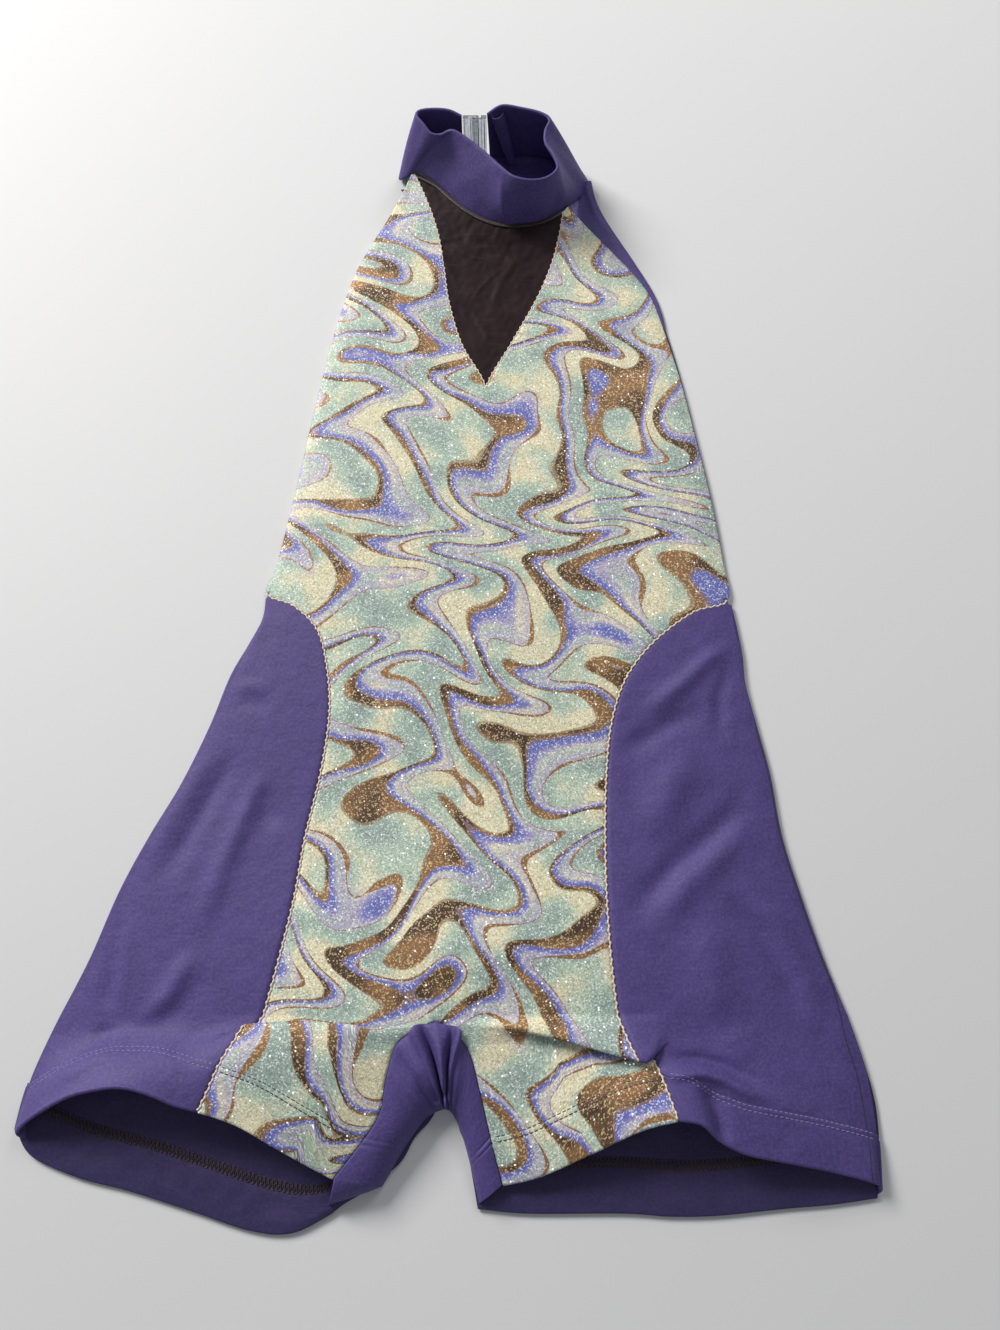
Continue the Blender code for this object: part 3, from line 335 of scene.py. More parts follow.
@dataclass
class Patch:
    """A grid of points of a cloth with the place of each point on the flat cloth."""

    points: Array
    cloth: Array

    def rows(self, first: int, last: Optional[int] = None) -> "Patch":
        """Part of the patch between two rows."""
        return Patch(self.points[first:last], self.cloth[first:last])

    def flipped(self) -> "Patch":
        """The patch with its columns in the other order."""
        return Patch(self.points[:, ::-1], self.cloth[:, ::-1])

    def turned(self) -> "Patch":
        """The patch with rows and columns exchanged."""
        return Patch(self.points.transpose(1, 0, 2), self.cloth.transpose(1, 0, 2))

    def over(self, lower: "Patch") -> "Patch":
        """This patch and one that goes on below its last row, as one."""
        points = np.concatenate([self.points, lower.points[1:]])
        return Patch(points, np.concatenate([self.cloth, lower.cloth[1:]]))

    def smoothed(self, row: int, reach: float, spread: float, share: Array) -> "Patch":
        """The patch with its heights evened out along its columns on both sides of one row.

        Args:
            row: The row.
            reach: How far from the row heights change.
            spread: Width of the smoothing.
            share: How much each column takes part, from 0 to 1.

        Returns:
            The new patch.
        """
        points = self.points.copy()
        for column in range(points.shape[1]):
            line = self.points[:, column]
            away = arc_lengths(line[:, :2])
            away = away - away[row]
            near = np.abs(away) < reach + 3.0 * spread
            place, height = away[near], line[near, 2]
            weight = bell(place[:, None] - place[None, :], spread) * np.gradient(place)[None, :]
            even = (weight @ height) / weight.sum(axis=1)
            part = eased((reach - np.abs(place)) / (0.6 * reach)) * share[column]
            points[near, column, 2] += (even - height) * part
        return Patch(points, self.cloth)

    def up_from_hem(self) -> Array:
        """Distance of each point up its column from the last row.

        Returns:
            One distance for each point.
        """
        steps = np.linalg.norm(np.diff(self.points[::-1], axis=0), axis=-1)
        up = np.concatenate([np.zeros((1, self.points.shape[1])), np.cumsum(steps, axis=0)])
        return up[::-1]

    def banded(self, depth: float = 18.6, rise: float = 0.4, groove: float = 0.34) -> "Patch":
        """The patch with the relief of a doubled hem and its two stitched lines.

        Args:
            depth: How far the hem's turned cloth reaches up.
            rise: How much the doubled cloth stands over the single one.
            groove: How deep the stitches pull the cloth in.

        Returns:
            The new patch.
        """
        up = self.up_from_hem()
        relief = rise * eased(depth + 1.4 - up)
        for line in HEM_LINES:
            relief = relief - groove * bell(up - line, 0.6)
        pucker = ripple(self.points[..., :2], 3.1, 7.0) + 0.6 * ripple(self.points[..., :2], 5.3, 3.0)
        relief = relief + 0.16 * pucker * bell(up - depth, 4.0)
        points = self.points.copy()
        points[..., 2] += relief
        return Patch(points, self.cloth)

    def drawn_in(self, first: float, last: float, dip: float = 0.0) -> "Patch":
        """The patch with its first and last columns moved in along each row.

        Args:
            first: How far the first column moves.
            last: How far the last column moves.
            dip: How much those columns sink, as at a seam.

        Returns:
            The new patch.
        """
        points = self.points.copy()
        if first:
            points[:, 0] += unit(points[:, 1] - points[:, 0]) * first
            points[:, 0, 2] -= dip
        if last:
            points[:, -1] += unit(points[:, -2] - points[:, -1]) * last
            points[:, -1, 2] -= dip
        return Patch(points, self.cloth)

    def rolled(
        self, radius: Amount, steps: int = 6, lag: Amount = 0.0, tuck: float = 0.0,
    ) -> "Patch":
        """The patch with its last column rolled down into a soft folded edge.

        Args:
            radius: Radius of the roll, one number or one for each row.
            steps: Columns that the roll adds.
            lag: How far the under side of the roll runs on down the edge, one number or one for each row.
            tuck: How much that run turns inward.

        Returns:
            The wider patch.
        """
        edge = self.points[:, -1]
        run = edge - self.points[:, -3]
        run[:, 2] = 0.0
        outward = unit(run)
        size = np.broadcast_to(np.asarray(radius, dtype=float), (len(edge),))[:, None]
        trailing = np.broadcast_to(np.asarray(lag, dtype=float), (len(edge),))[:, None]
        base = edge - outward * size
        onward = np.gradient(edge, axis=0)
        onward[:, 2] = 0.0
        trail = unit(unit(onward) - outward * tuck) * trailing
        step_out = unit(self.cloth[:, -1] - self.cloth[:, -2])
        columns, cloths = [], []
        for step in range(1, steps + 1):
            turn = math.radians(ROLL_ANGLE) * step / steps
            drop = np.array([0.0, 0.0, -1.0]) * size * (1.0 - math.cos(turn))
            columns.append(base + outward * size * (math.sin(turn)) + drop + trail * (step / steps) ** 1.5)
            cloths.append(self.cloth[:, -1] + step_out * size * turn)
        points = np.concatenate([self.points[:, :-1], base[:, None], np.stack(columns, axis=1)], axis=1)
        cloth = np.concatenate([self.cloth, np.stack(cloths, axis=1)], axis=1)
        return Patch(points, cloth)

    def hemmed(self, depth: float, radius: float, rows: int = 6) -> "Patch":
        """The patch with its last row turned under and run back up inside, as a sewn hem.

        Args:
            depth: How far the turned cloth runs back.
            radius: Radius of the fold.
            rows: Rows of the turned part.

        Returns:
            The longer patch.
        """
        edge = self.points[-1]
        outward = unit(edge - self.points[-3])
        down = np.cross(unit(np.gradient(edge, axis=0)), outward)
        down = np.where((down[:, 2] > 0.0)[:, None], -down, down)
        new, cloths = [], []
        step_out = unit(self.cloth[-1] - self.cloth[-2])
        for step in range(1, FOLD_STEPS + 1):
            turn = math.pi * step / FOLD_STEPS
            new.append(edge + outward * radius * math.sin(turn) + down * radius * (1.0 - math.cos(turn)))
            cloths.append(self.cloth[-1] + step_out * radius * turn)
        folded = cloths[-1]
        for step in range(1, rows + 1):
            new.append(self.at_distance(depth * step / rows) + down * radius * 2.0)
            cloths.append(folded + step_out * depth * step / rows)
        points = np.concatenate([self.points, np.stack(new)], axis=0)
        return Patch(points, np.concatenate([self.cloth, np.stack(cloths)], axis=0))

    def at_distance(self, distance: float) -> Array:
        """Points at a distance up the patch from its last row, one for each column."""
        columns = self.points[::-1].transpose(1, 0, 2)
        return np.stack([at_lengths(column, distance) for column in columns])


def coons(top: Array, bottom: Array, left: Array, right: Array) -> Array:
    """Fill the space between four edge lines that meet at their ends.

    Args:
        top: Points of the first row.
        bottom: Points of the last row.
        left: Points of the first column.
        right: Points of the last column.

    Returns:
        A grid of points.
    """
    over = np.linspace(0.0, 1.0, len(top))[None, :, None]
    down = np.linspace(0.0, 1.0, len(left))[:, None, None]
    ruled_down = top[None] * (1.0 - down) + bottom[None] * down
    ruled_over = left[:, None] * (1.0 - over) + right[:, None] * over
    upper = top[0] * (1.0 - over) + top[-1] * over
    lower = bottom[0] * (1.0 - over) + bottom[-1] * over
    return ruled_down + ruled_over - (upper * (1.0 - down) + lower * down)


class MeshMaker:
    """Makes mesh pieces from patches, tubes and lists of points, in the frame's metres."""

    @staticmethod
    def placed(points: Array) -> Array:
        """Table millimetres as frame metres."""
        return (np.asarray(points, dtype=float) + np.asarray(CENTRE)) * MM

    @classmethod
    def piece(
        cls, name: str, points: Array, faces: Sequence[Sequence[int]], cloth: Optional[Array] = None,
        weld: float = 0.0,
    ) -> Piece:
        """Make one mesh object.

        Args:
            name: Name of the piece.
            points: Points in table millimetres.
            faces: Point numbers of each face.
            cloth: Place of each point on the flat cloth, in millimetres.
            weld: Distance within which points are joined, in millimetres.

        Returns:
            The new object.
        """
        mesh = bpy.data.meshes.new(name)
        mesh.from_pydata(cls.placed(points).tolist(), [], [list(face) for face in faces])
        if cloth is not None:
            layer = mesh.attributes.new("cloth", "FLOAT_VECTOR", "POINT")
            flat = np.zeros((len(points), 3), dtype=np.float32)
            flat[:, : cloth.shape[1]] = cloth * MM
            layer.data.foreach_set("vector", flat.ravel())
        if weld:
            sheet = bmesh.new()
            sheet.from_mesh(mesh)
            bmesh.ops.remove_doubles(sheet, verts=sheet.verts, dist=weld * MM)
            bmesh.ops.dissolve_degenerate(sheet, edges=sheet.edges, dist=0.001 * MM)
            bmesh.ops.recalc_face_normals(sheet, faces=sheet.faces)
            sheet.to_mesh(mesh)
            sheet.free()
        mesh.shade_smooth()
        piece = bpy.data.objects.new(name, mesh)
        bpy.context.scene.collection.objects.link(piece)
        return piece

    @classmethod
    def from_patches(cls, name: str, patches: Sequence[Patch], weld: float = 0.02) -> Piece:
        """Make one cloth from patches that meet at their edges.

        Args:
            name: Name of the piece.
            patches: The patches.
            weld: Distance within which points are joined, in millimetres.

        Returns:
            The new object.
        """
        points, cloths, faces, start = [], [], [], 0
        for patch in patches:
            rows, columns = patch.points.shape[:2]
            points.append(patch.points.reshape(-1, 3))
            cloths.append(patch.cloth.reshape(-1, patch.cloth.shape[-1]))
            number = np.arange(rows * columns).reshape(rows, columns) + start
            quads = np.stack([number[:-1, :-1], number[1:, :-1], number[1:, 1:], number[:-1, 1:]], axis=-1)
            faces += quads.reshape(-1, 4).tolist()
            start += rows * columns
        return cls.piece(name, np.concatenate(points), faces, np.concatenate(cloths), weld)

    @staticmethod
    def ring_faces(rings: int, sides: int) -> list[list[int]]:
        """Faces of a closed body that is made of equal rings of points.

        Args:
            rings: Number of rings.
            sides: Points in each ring.

        Returns:
            The faces between the rings, then the two end caps.
        """
        faces = []
        for ring in range(rings - 1):
            low, high = ring * sides, (ring + 1) * sides
            for number in range(sides):
                after = (number + 1) % sides
                faces.append([low + number, low + after, high + after, high + number])
        faces.append(list(range(sides))[::-1])
        faces.append([(rings - 1) * sides + number for number in range(sides)])
        return faces

    @classmethod
    def tube(cls, path: Array, radius: Amount, sides: int = 6, flat: float = 1.0) -> Solid:
        """Points and faces of a closed tube along a path.

        Args:
            path: Points of its middle line.
            radius: Radius, one number or one for each point.
            sides: Number of sides.
            flat: Height of its section over its width.

        Returns:
            The tube's points and its faces.
        """
        run = unit(np.gradient(path, axis=0))
        side = np.cross(run, np.array([0.0, 0.0, 1.0]))
        upright = np.linalg.norm(side, axis=1, keepdims=True) < 1e-6
        side = unit(np.where(upright, np.array([1.0, 0.0, 0.0]), side))
        rise = unit(np.cross(side, run))
        size = np.broadcast_to(np.asarray(radius, dtype=float), (len(path),))[:, None]
        rings = []
        for number in range(sides):
            turn = 2.0 * math.pi * number / sides
            rings.append(path + side * size * math.cos(turn) + rise * size * flat * math.sin(turn))
        return np.stack(rings, axis=1).reshape(-1, 3), cls.ring_faces(len(path), sides)

    @classmethod
    def joined(cls, name: str, parts: Iterable[Solid]) -> Piece:
        """Make one object from many small parts.

        Args:
            name: Name of the piece.
            parts: Points and faces of each part.

        Returns:
            The new object.
        """
        points, faces, start = [], [], 0
        for part_points, part_faces in parts:
            points.append(part_points)
            faces += [[index + start for index in face] for face in part_faces]
            start += len(part_points)
        return cls.piece(name, np.concatenate(points), faces)


def wall(piece: Piece, thickness: float) -> None:
    """Give a cloth its thickness, half of it on each side.

    Args:
        piece: The cloth.
        thickness: Its thickness in millimetres.
    """
    solidify = piece.modifiers.new("cloth thickness", "SOLIDIFY")
    solidify.thickness = thickness * MM
    solidify.offset = 0.0


@dataclass
class FrontForm:
    """How high the front of the garment lies over the table."""

    creases: tuple[Crease, ...] = ()

    def height(self, plan: Array) -> Array:
        """Height of the front cloth's middle above the crotch row.

        Args:
            plan: Plan points, any number of them.

        Returns:
            One height for each point.
        """
        edge, width = self.inside(plan)
        loft = 1.0 - np.exp(-edge / EDGE_ROLL)
        leg = eased((LEG_LIFT_TOP - plan[..., 1]) / (LEG_LIFT_TOP - APEX_Y))
        middle = np.sin(math.pi * np.minimum(edge / (0.5 * width), 1.0) / 2.0)
        foot = spline(COLLAR_RIBS, np.linspace(0.0, len(COLLAR_RIBS) - 1.0, COLLAR_FOOT_SAMPLES))[:, :2]
        away = np.min(np.linalg.norm(plan[..., None, :] - foot, axis=-1), axis=-1)
        collar = COLLAR_LIFT * np.exp(-np.maximum(away - COLLAR_LIFT_START, 0.0) / COLLAR_LIFT_REACH)
        cloth = TORSO_LOFT * loft + CROTCH_LIFT * leg * middle + self.folds(plan) * loft
        return REST_Z + np.maximum(cloth, 0.0) + collar

    @staticmethod
    def inside(plan: Array) -> tuple[Array, Array]:
        """How far plan points lie inside the garment's outline, and its width there.

        Args:
            plan: Plan points.

        Returns:
            One distance and one width for each point.
        """
        rows = np.asarray(SILHOUETTE, dtype=float)[::-1]
        x, y = plan[..., 0], plan[..., 1]
        left = np.interp(y, rows[:, 0], rows[:, 1])
        right = np.interp(y, rows[:, 0], rows[:, 2])
        return np.maximum(np.minimum(x - left, right - x), 0.0), right - left

    def relief(self, plan: Array) -> Array:
        """Height of the folds alone, which fade out at the garment's outline."""
        return self.folds(plan) * (1.0 - np.exp(-self.inside(plan)[0] / EDGE_ROLL))

    def folds(self, plan: Array) -> Array:
        """Sum of the soft ridges and troughs at plan points."""
        return sum((crease.lift(plan) for crease in self.creases), np.zeros(plan.shape[:-1]))

    def laid(self, plan: Array) -> Array:
        """Points of the front over plan points."""
        return np.concatenate([plan, self.height(plan)[..., None]], axis=-1)


FRONT_CREASES = tuple(Crease(*row) for row in (
    (((-40, 158), (-24, 139), (-4, 121), (26, 86)), 4, 1.6, 0.35),
    (((-66, 182), (-52, 176), (-42, 175)), 2.2, 1.9, 0.4),
    (((-69, 172), (-54, 165), (-40, 160)), 2.3, 1.8, 0.4),
    (((-72, 161), (-58, 153), (-48, 149)), 2.6, 1.5, 0.4), (((-73, 152), (-60, 144)), 2.6, 0.7, 0.4),
    (((145, -29), (130.4, -39.2), (115.8, -52.5), (96, -68.5)), 4, 2.4, 0.3),
    (((144.6, -37), (134.5, -58), (133.5, -86)), 3.2, -1.9, 0.35),
    (((131, -64), (105.6, -74.4), (80, -92)), 5, -2, 0.35),
    (((122, -84), (108, -104), (94, -134)), 9, 2.8, 0.4),
    (
        ((142, -101.3), (139.7, -117), (124.8, -129.7), (106.4, -144), (80.3, -170.4)), 4.6, -2.4, 0.3,
    ),
    (((148, -116), (132, -136), (112, -153), (92, -178)), 5.5, 2.2, 0.35),
    (((118, -168), (122, -190), (122, -216)), 9, 2.2, 0.35),
    (((129.1, -158), (143.3, -171.5), (154.2, -190.8), (164, -213)), 4.6, -2.6, 0.3),
    (((140, -156), (154, -170), (164, -190), (171, -213)), 4, 1.9, 0.35),
    (((-97.2, -10), (-106.6, -32.2), (-107.9, -51)), 3.4, 1.5, 0.35),
    (((-113.8, -53.5), (-102.7, -53.1), (-91.9, -56)), 2.6, 1.3, 0.4),
    (((-112, -61), (-102, -61.5), (-90, -66)), 3, -1.2, 0.4),
    (((-106.4, -84.5), (-123.5, -119.6), (-141.4, -156.5)), 5, -2.4, 0.35),
    (((-117, -80), (-134, -112), (-148, -146)), 4.4, 1.8, 0.35),
    (((-91, -92.5), (-108.1, -139.9), (-118.5, -178)), 5, 2.3, 0.35),
    (((-96, -104), (-84, -128)), 5, -1.6, 0.4),
    (((-152.2, -164), (-151.5, -190.8), (-151.4, -214.3)), 3, 1.5, 0.35),
    (((-156.9, -162), (-156.7, -190.8), (-156.4, -214.3)), 3, -2, 0.35),
    (((-118, -182), (-129, -203.7), (-141.2, -215)), 4.2, 2.4, 0.4),
    (((-112, -190), (-120, -203), (-130, -217)), 5.5, -0.9, 0.4),
    (((-30, -40), (8, -62), (40, -90)), 26, 1, 0.4), (((-30, -176), (6, -184), (42, -184)), 12, 1.6, 0.4),
    (((-60, 84), (-20, 70), (24, 66)), 9, 0.6, 0.4), (((110, 60), (84, 30), (70, -6)), 9, 0.7, 0.4),
    (((104, 186), (92, 170), (84, 158)), 3.4, 0.7, 0.4),
    (((-62, -22), (-52, -56), (-54, -90)), 5, 0.6, 0.4), (((80, -28), (70, -60), (68, -96)), 5, 0.6, 0.4),
))


LEG_CREASES = tuple(Crease(*row) for row in (
    (((-141.2, -215), (-150.7, -226), (-175.3, -239.6)), 3.4, 2.2, 0.35),
    (((-156.4, -214), (-156.4, -226)), 3, -1.6, 0.4), (((-112, -214), (-122, -230)), 4, -0.9, 0.4),
    (((-176, -228), (-168, -236)), 2.6, 0.7, 0.4),
    (((94, -229.6), (112, -229.2), (123, -232), (141, -242)), 2.8, -2.2, 0.3),
    (
        ((92, -235.4), (104, -235.2), (114, -234.8), (123, -237.8), (142, -248)), 2.4, 2.6, 0.25,
    ),
    (
        ((92, -235.4), (104, -234.6), (123, -237.6), (141, -248.1), (160, -254)), 6, 1.2, 0.3,
    ),
    (((112, -239), (117.5, -249), (121, -264)), 3.4, -3, 0.3), (((166, -214), (172, -240)), 5, -0.9, 0.4),
    (((128, -216), (134, -232)), 7, 1, 0.4),
))


@dataclass
class Leg:
    """One leg's front: its edges, its hem and the pleat across it."""

    edges: Table
    hem: Table
    pleat: Table
    amount: Table
    edge: Table
    fold_edge: float
    form: "FrontForm"
    seam_index: int = 7
    columns: int = 30
    fine: int = 4
    hem_rows: int = 72
    slope_reach: float = 15.0

    def patches(self, top_side: Array, top_inner: Array) -> tuple[Patch, Patch]:
        """Pleated patches of the side panel's part and the print's part, from outer edge to inner seam.

        Args:
            top_side: Points of the side panel's lowest row, outer edge first.
            top_inner: Points of the print's lowest row, side seam first.

        Returns:
            The side panel's patch and the print's patch.
        """
        values = spline(self.edges, np.linspace(0.0, len(self.edges) - 1.0, LEG_EDGE_SAMPLES))
        outer = np.concatenate([values[:, :2], np.full((len(values), 1), REST_Z)], axis=1)
        seam, inner = values[:, 2:5], values[:, 5:8]
        hem = np.asarray(self.hem, dtype=float)
        side = self.filled(top_side, hem[: self.seam_index + 1], outer, seam)
        inner_part = self.filled(top_inner, hem[self.seam_index :], seam, inner)
        return self.pleated(side), self.pleated(inner_part)

    def filled(self, top: Array, hem: Array, first: Array, last: Array) -> Array:
        """Grid of one part of the leg, flat, between its four edges."""
        low = spline(hem, np.linspace(0.0, len(hem) - 1.0, self.columns + 1))
        return coons(top, low, self.matched(first, top[0], low[0]), self.matched(last, top[-1], low[-1]))

    @staticmethod
    def matched(curve: Array, start: Array, end: Array) -> Array:
        """Curve moved so that its ends meet two given points."""
        share = np.linspace(0.0, 1.0, len(curve))[:, None]
        return curve + (start - curve[0]) * (1.0 - share) + (end - curve[-1]) * share

    def pleated(self, grid: Array) -> Patch:
        """Fold a grid along its columns by the pleat profile, and keep its hem in place.

        Args:
            grid: Points of one part of the leg.

        Returns:
            The pleated patch.
        """
        rows = len(grid) - 1
        top = grid[0]
        length = np.maximum(np.linalg.norm(grid[-1] - top, axis=-1), 1.0)
        amount = lookup(self.amount, top[:, 0])
        edge = lookup(self.edge, top[:, 0])
        last = len(self.pleat) - 1
        steps = np.linspace(0.0, last, last * self.fine + 1)
        profile = spline(self.pleat, steps)
        column = np.arange(grid.shape[1])
        lines = []
        for number in range(len(steps) + self.hem_rows):
            part = max(number - len(steps) + 1, 0) / self.hem_rows
            open_at, folded_at, rise, slide = profile[min(number, len(steps) - 1)]
            step = steps[min(number, len(steps) - 1)]
            folded = folded_at * np.minimum(edge / self.fold_edge, 1.0)
            folded = folded + np.maximum(edge - self.fold_edge, 0.0) * min(step / 2.0, 1.0)
            turned = open_at + (folded - open_at) * amount**PLEAT_TURN
            start = np.minimum(turned, PLEAT_MOST_SHARE * length)
            distance = start + (length - start) * part
            fade = np.minimum(PLEAT_FADE * amount, 1.0) * (1.0 - eased(part))
            position = np.minimum(distance / length, 1.0) * rows
            index = np.minimum(position.astype(int), rows - 1)
            share = (position - index)[:, None]
            point = grid[index, column] * (1.0 - share) + grid[index + 1, column] * share
            point[:, 0] += slide * amount * fade
            point[:, 2] += rise * fade
            lines.append(point)
        points = np.stack(lines)
        down = np.cumsum(np.linalg.norm(np.diff(points, axis=0), axis=-1), axis=0)
        down = np.concatenate([np.zeros((1, points.shape[1])), down])
        cloth = np.stack([points[..., 0], top[None, :, 1] - down], axis=-1)
        slope = (grid[2, :, 2] - top[:, 2]) / np.maximum(np.linalg.norm(grid[2] - top, axis=-1), 0.1)
        points[..., 2] -= slope * (1.0 - amount) * down * bell(down, self.slope_reach)
        left_over = self.form.relief(top[:, :2]) * np.maximum(1.0 - down / length, 0.0)
        points[..., 2] += self.form.relief(points[..., :2]) - left_over
        return Patch(points, cloth)


@dataclass
class Front:
    """The front of the garment: the print panel between the two navy side panels."""

    form: FrontForm = field(default_factory=lambda: FrontForm(FRONT_CREASES + LEG_CREASES))
    columns: int = 44
    side_columns: int = 30
    steps: int = 9
    cloth_wall: float = 0.55
    seam_gap: float = 0.16
    seam_dip: float = 0.35
    hem_radius: float = 0.75
    hem_depth: float = 19.0
    roll: float = 0.95
    corner_rise: float = 1.5
    corner_reach: float = 15.0
    corner_width: float = 13.0
    left_fold: float = 3.3
    right_fold: float = 15.2
    even_reach: float = 24.0
    even_spread: float = 5.5

    def __post_init__(self) -> None:
        """Lay out every patch once."""
        rows = np.arange(0.0, CROTCH_ROW + 1e-6, 1.0 / self.steps)
        edges = spline(PRINT_SECTIONS, rows)
        self.left = self.between(edges[:, 0:2], edges[:, 2:4], self.columns)
        self.right = self.between(edges[:, 4:6], edges[:, 6:8], self.columns)
        tip = V_TIP_ROW * self.steps
        for left, right in ((self.left.points, self.right.points), (self.left.cloth, self.right.cloth)):
            joint = (left[tip:, -1] + right[tip:, 0]) / 2.0
            left[tip:, -1] = joint
            right[tip:, 0] = joint
        below = rows > SEAM_CORNER_ROW + 0.05
        outers = spline(SIDE_SECTIONS, rows[below] - SEAM_CORNER_ROW)
        left_side = self.between(outers[:, 0:2], edges[below, 0:2], self.side_columns)
        right_side = self.between(outers[:, 2:4], edges[below, 6:8], self.side_columns)
        left_pleat = (LEFT_PLEAT, LEFT_PLEAT_AMOUNT, LEFT_PLEAT_EDGE, self.left_fold)
        right_pleat = (RIGHT_PLEAT, RIGHT_PLEAT_AMOUNT, RIGHT_PLEAT_EDGE, self.right_fold)
        left_leg = Leg(LEFT_LEG_EDGES, LEFT_HEM, *left_pleat, self.form)
        right_leg = Leg(RIGHT_LEG_EDGES, RIGHT_HEM, *right_pleat, self.form)
        self.left_panel, self.left_leg_print = self.halves(left_leg, left_side, self.left.points[-1])
        right_top = self.right.points[-1][::-1]
        self.right_panel, self.right_leg_print = self.halves(right_leg, right_side, right_top)

    def halves(self, leg: Leg, side: Patch, inner_top: Array) -> tuple[Patch, Patch]:
        """The whole side panel and the print's part of one leg, each with its own number of columns.

        Args:
            leg: The leg.
            side: The side panel above the crotch row, outer edge first.
            inner_top: The print's lowest row, side seam first.

        Returns:
            The side panel and the print's part of the leg.
        """
        outer_top = side.points[-1]
        leg.columns = self.side_columns
        outer_part, _ = leg.patches(outer_top, self.redrawn(inner_top, self.side_columns))
        leg.columns = self.columns
        _, inner_part = leg.patches(self.redrawn(outer_top, self.columns), inner_top)
        return self.side_panel(side, outer_part.banded()), inner_part.banded()

    def side_panel(self, upper: Patch, leg: Patch) -> Patch:
        """A whole side panel, outer edge first, raised a little where its hem turns round the outer edge.

        Args:
            upper: The panel above the crotch row.
            leg: The panel below it.

        Returns:
            The panel, evened out along the crotch row but for its folds.
        """
        panel = upper.over(leg)
        row = len(upper.points) - 1
        from_seam = np.linalg.norm(panel.points[row] - panel.points[row, -1], axis=-1)
        folds = self.form.relief(panel.points[..., :2])[..., None] * np.array([0.0, 0.0, 1.0])
        bare = Patch(panel.points - folds, panel.cloth)
        bare = bare.smoothed(row, self.even_reach, self.even_spread, eased((from_seam - 8.0) / 25.0))
        panel = Patch(bare.points + folds, panel.cloth)
        reach = np.linalg.norm(panel.points - panel.points[:, :1], axis=-1)
        bulge = bell(panel.up_from_hem(), self.corner_reach) * bell(reach, self.corner_width)
        points = panel.points.copy()
        points[..., 2] += 2.0 * self.corner_rise * bulge
        return Patch(points, panel.cloth)

    @staticmethod
    def redrawn(line: Array, columns: int) -> Array:
        """A row of points drawn again with another number of columns."""
        return spline(line, np.linspace(0.0, len(line) - 1.0, columns + 1))

    def between(self, start: Array, end: Array, columns: int) -> Patch:
        """Patch of the front between two plan lines.

        Args:
            start: The line at its first column.
            end: The line at its last column.
            columns: Number of steps between them.

        Returns:
            The patch, over its own plan as flat cloth.
        """
        over = np.linspace(0.0, 1.0, columns + 1)[None, :, None]
        plan = start[:, None] * (1.0 - over) + end[:, None] * over
        return Patch(self.form.laid(plan), plan)


class Cloth(Enum):
    """The finishes of the garment, by their material slot in the record."""

    NAVY = "navy_spandex"
    PRINT = "glitter_print"
    SHEER = "sheer_mesh"
    CLEAR = "clear_clasp"


Number = Union["Wire", Socket, float]


class Wire:
    """A number socket that takes part in sums, so that shader maths reads as Python."""

    def __init__(self, board: "Board", socket: Socket) -> None:
        """Wrap one output socket of a board's node."""
        self.board = board
        self.socket = socket

    def __add__(self, other: Number) -> "Wire":
        """Sum."""
        return self.board.math("ADD", self, other)

    __radd__ = __add__

    def __sub__(self, other: Number) -> "Wire":
        """Difference."""
        return self.board.math("SUBTRACT", self, other)

    def __rsub__(self, other: Number) -> "Wire":
        """Difference from a number."""
        return self.board.math("SUBTRACT", other, self)

    def __mul__(self, other: Number) -> "Wire":
        """Product."""
        return self.board.math("MULTIPLY", self, other)

    __rmul__ = __mul__

    def __abs__(self) -> "Wire":
        """Size without sign."""
        return self.board.math("ABSOLUTE", self)

    def fraction(self) -> "Wire":
        """Part after the decimal point."""
        return self.board.math("FRACT", self)

    def wave(self) -> "Wire":
        """Sine."""
        return self.board.math("SINE", self)

    def most(self, other: Number) -> "Wire":
        """The larger of two."""
        return self.board.math("MAXIMUM", self, other)

    def step(self, low: Number, high: Number) -> "Wire":
        """Smooth step.

        Args:
            low: Value at which it is 0.
            high: Value at which it is 1.

        Returns:
            The step.
        """
        inputs = {"Value": self, "From Min": low, "From Max": high}
        node = self.board.add("ShaderNodeMapRange", {"interpolation_type": "SMOOTHSTEP"}, inputs)
        return Wire(self.board, node.outputs["Result"])


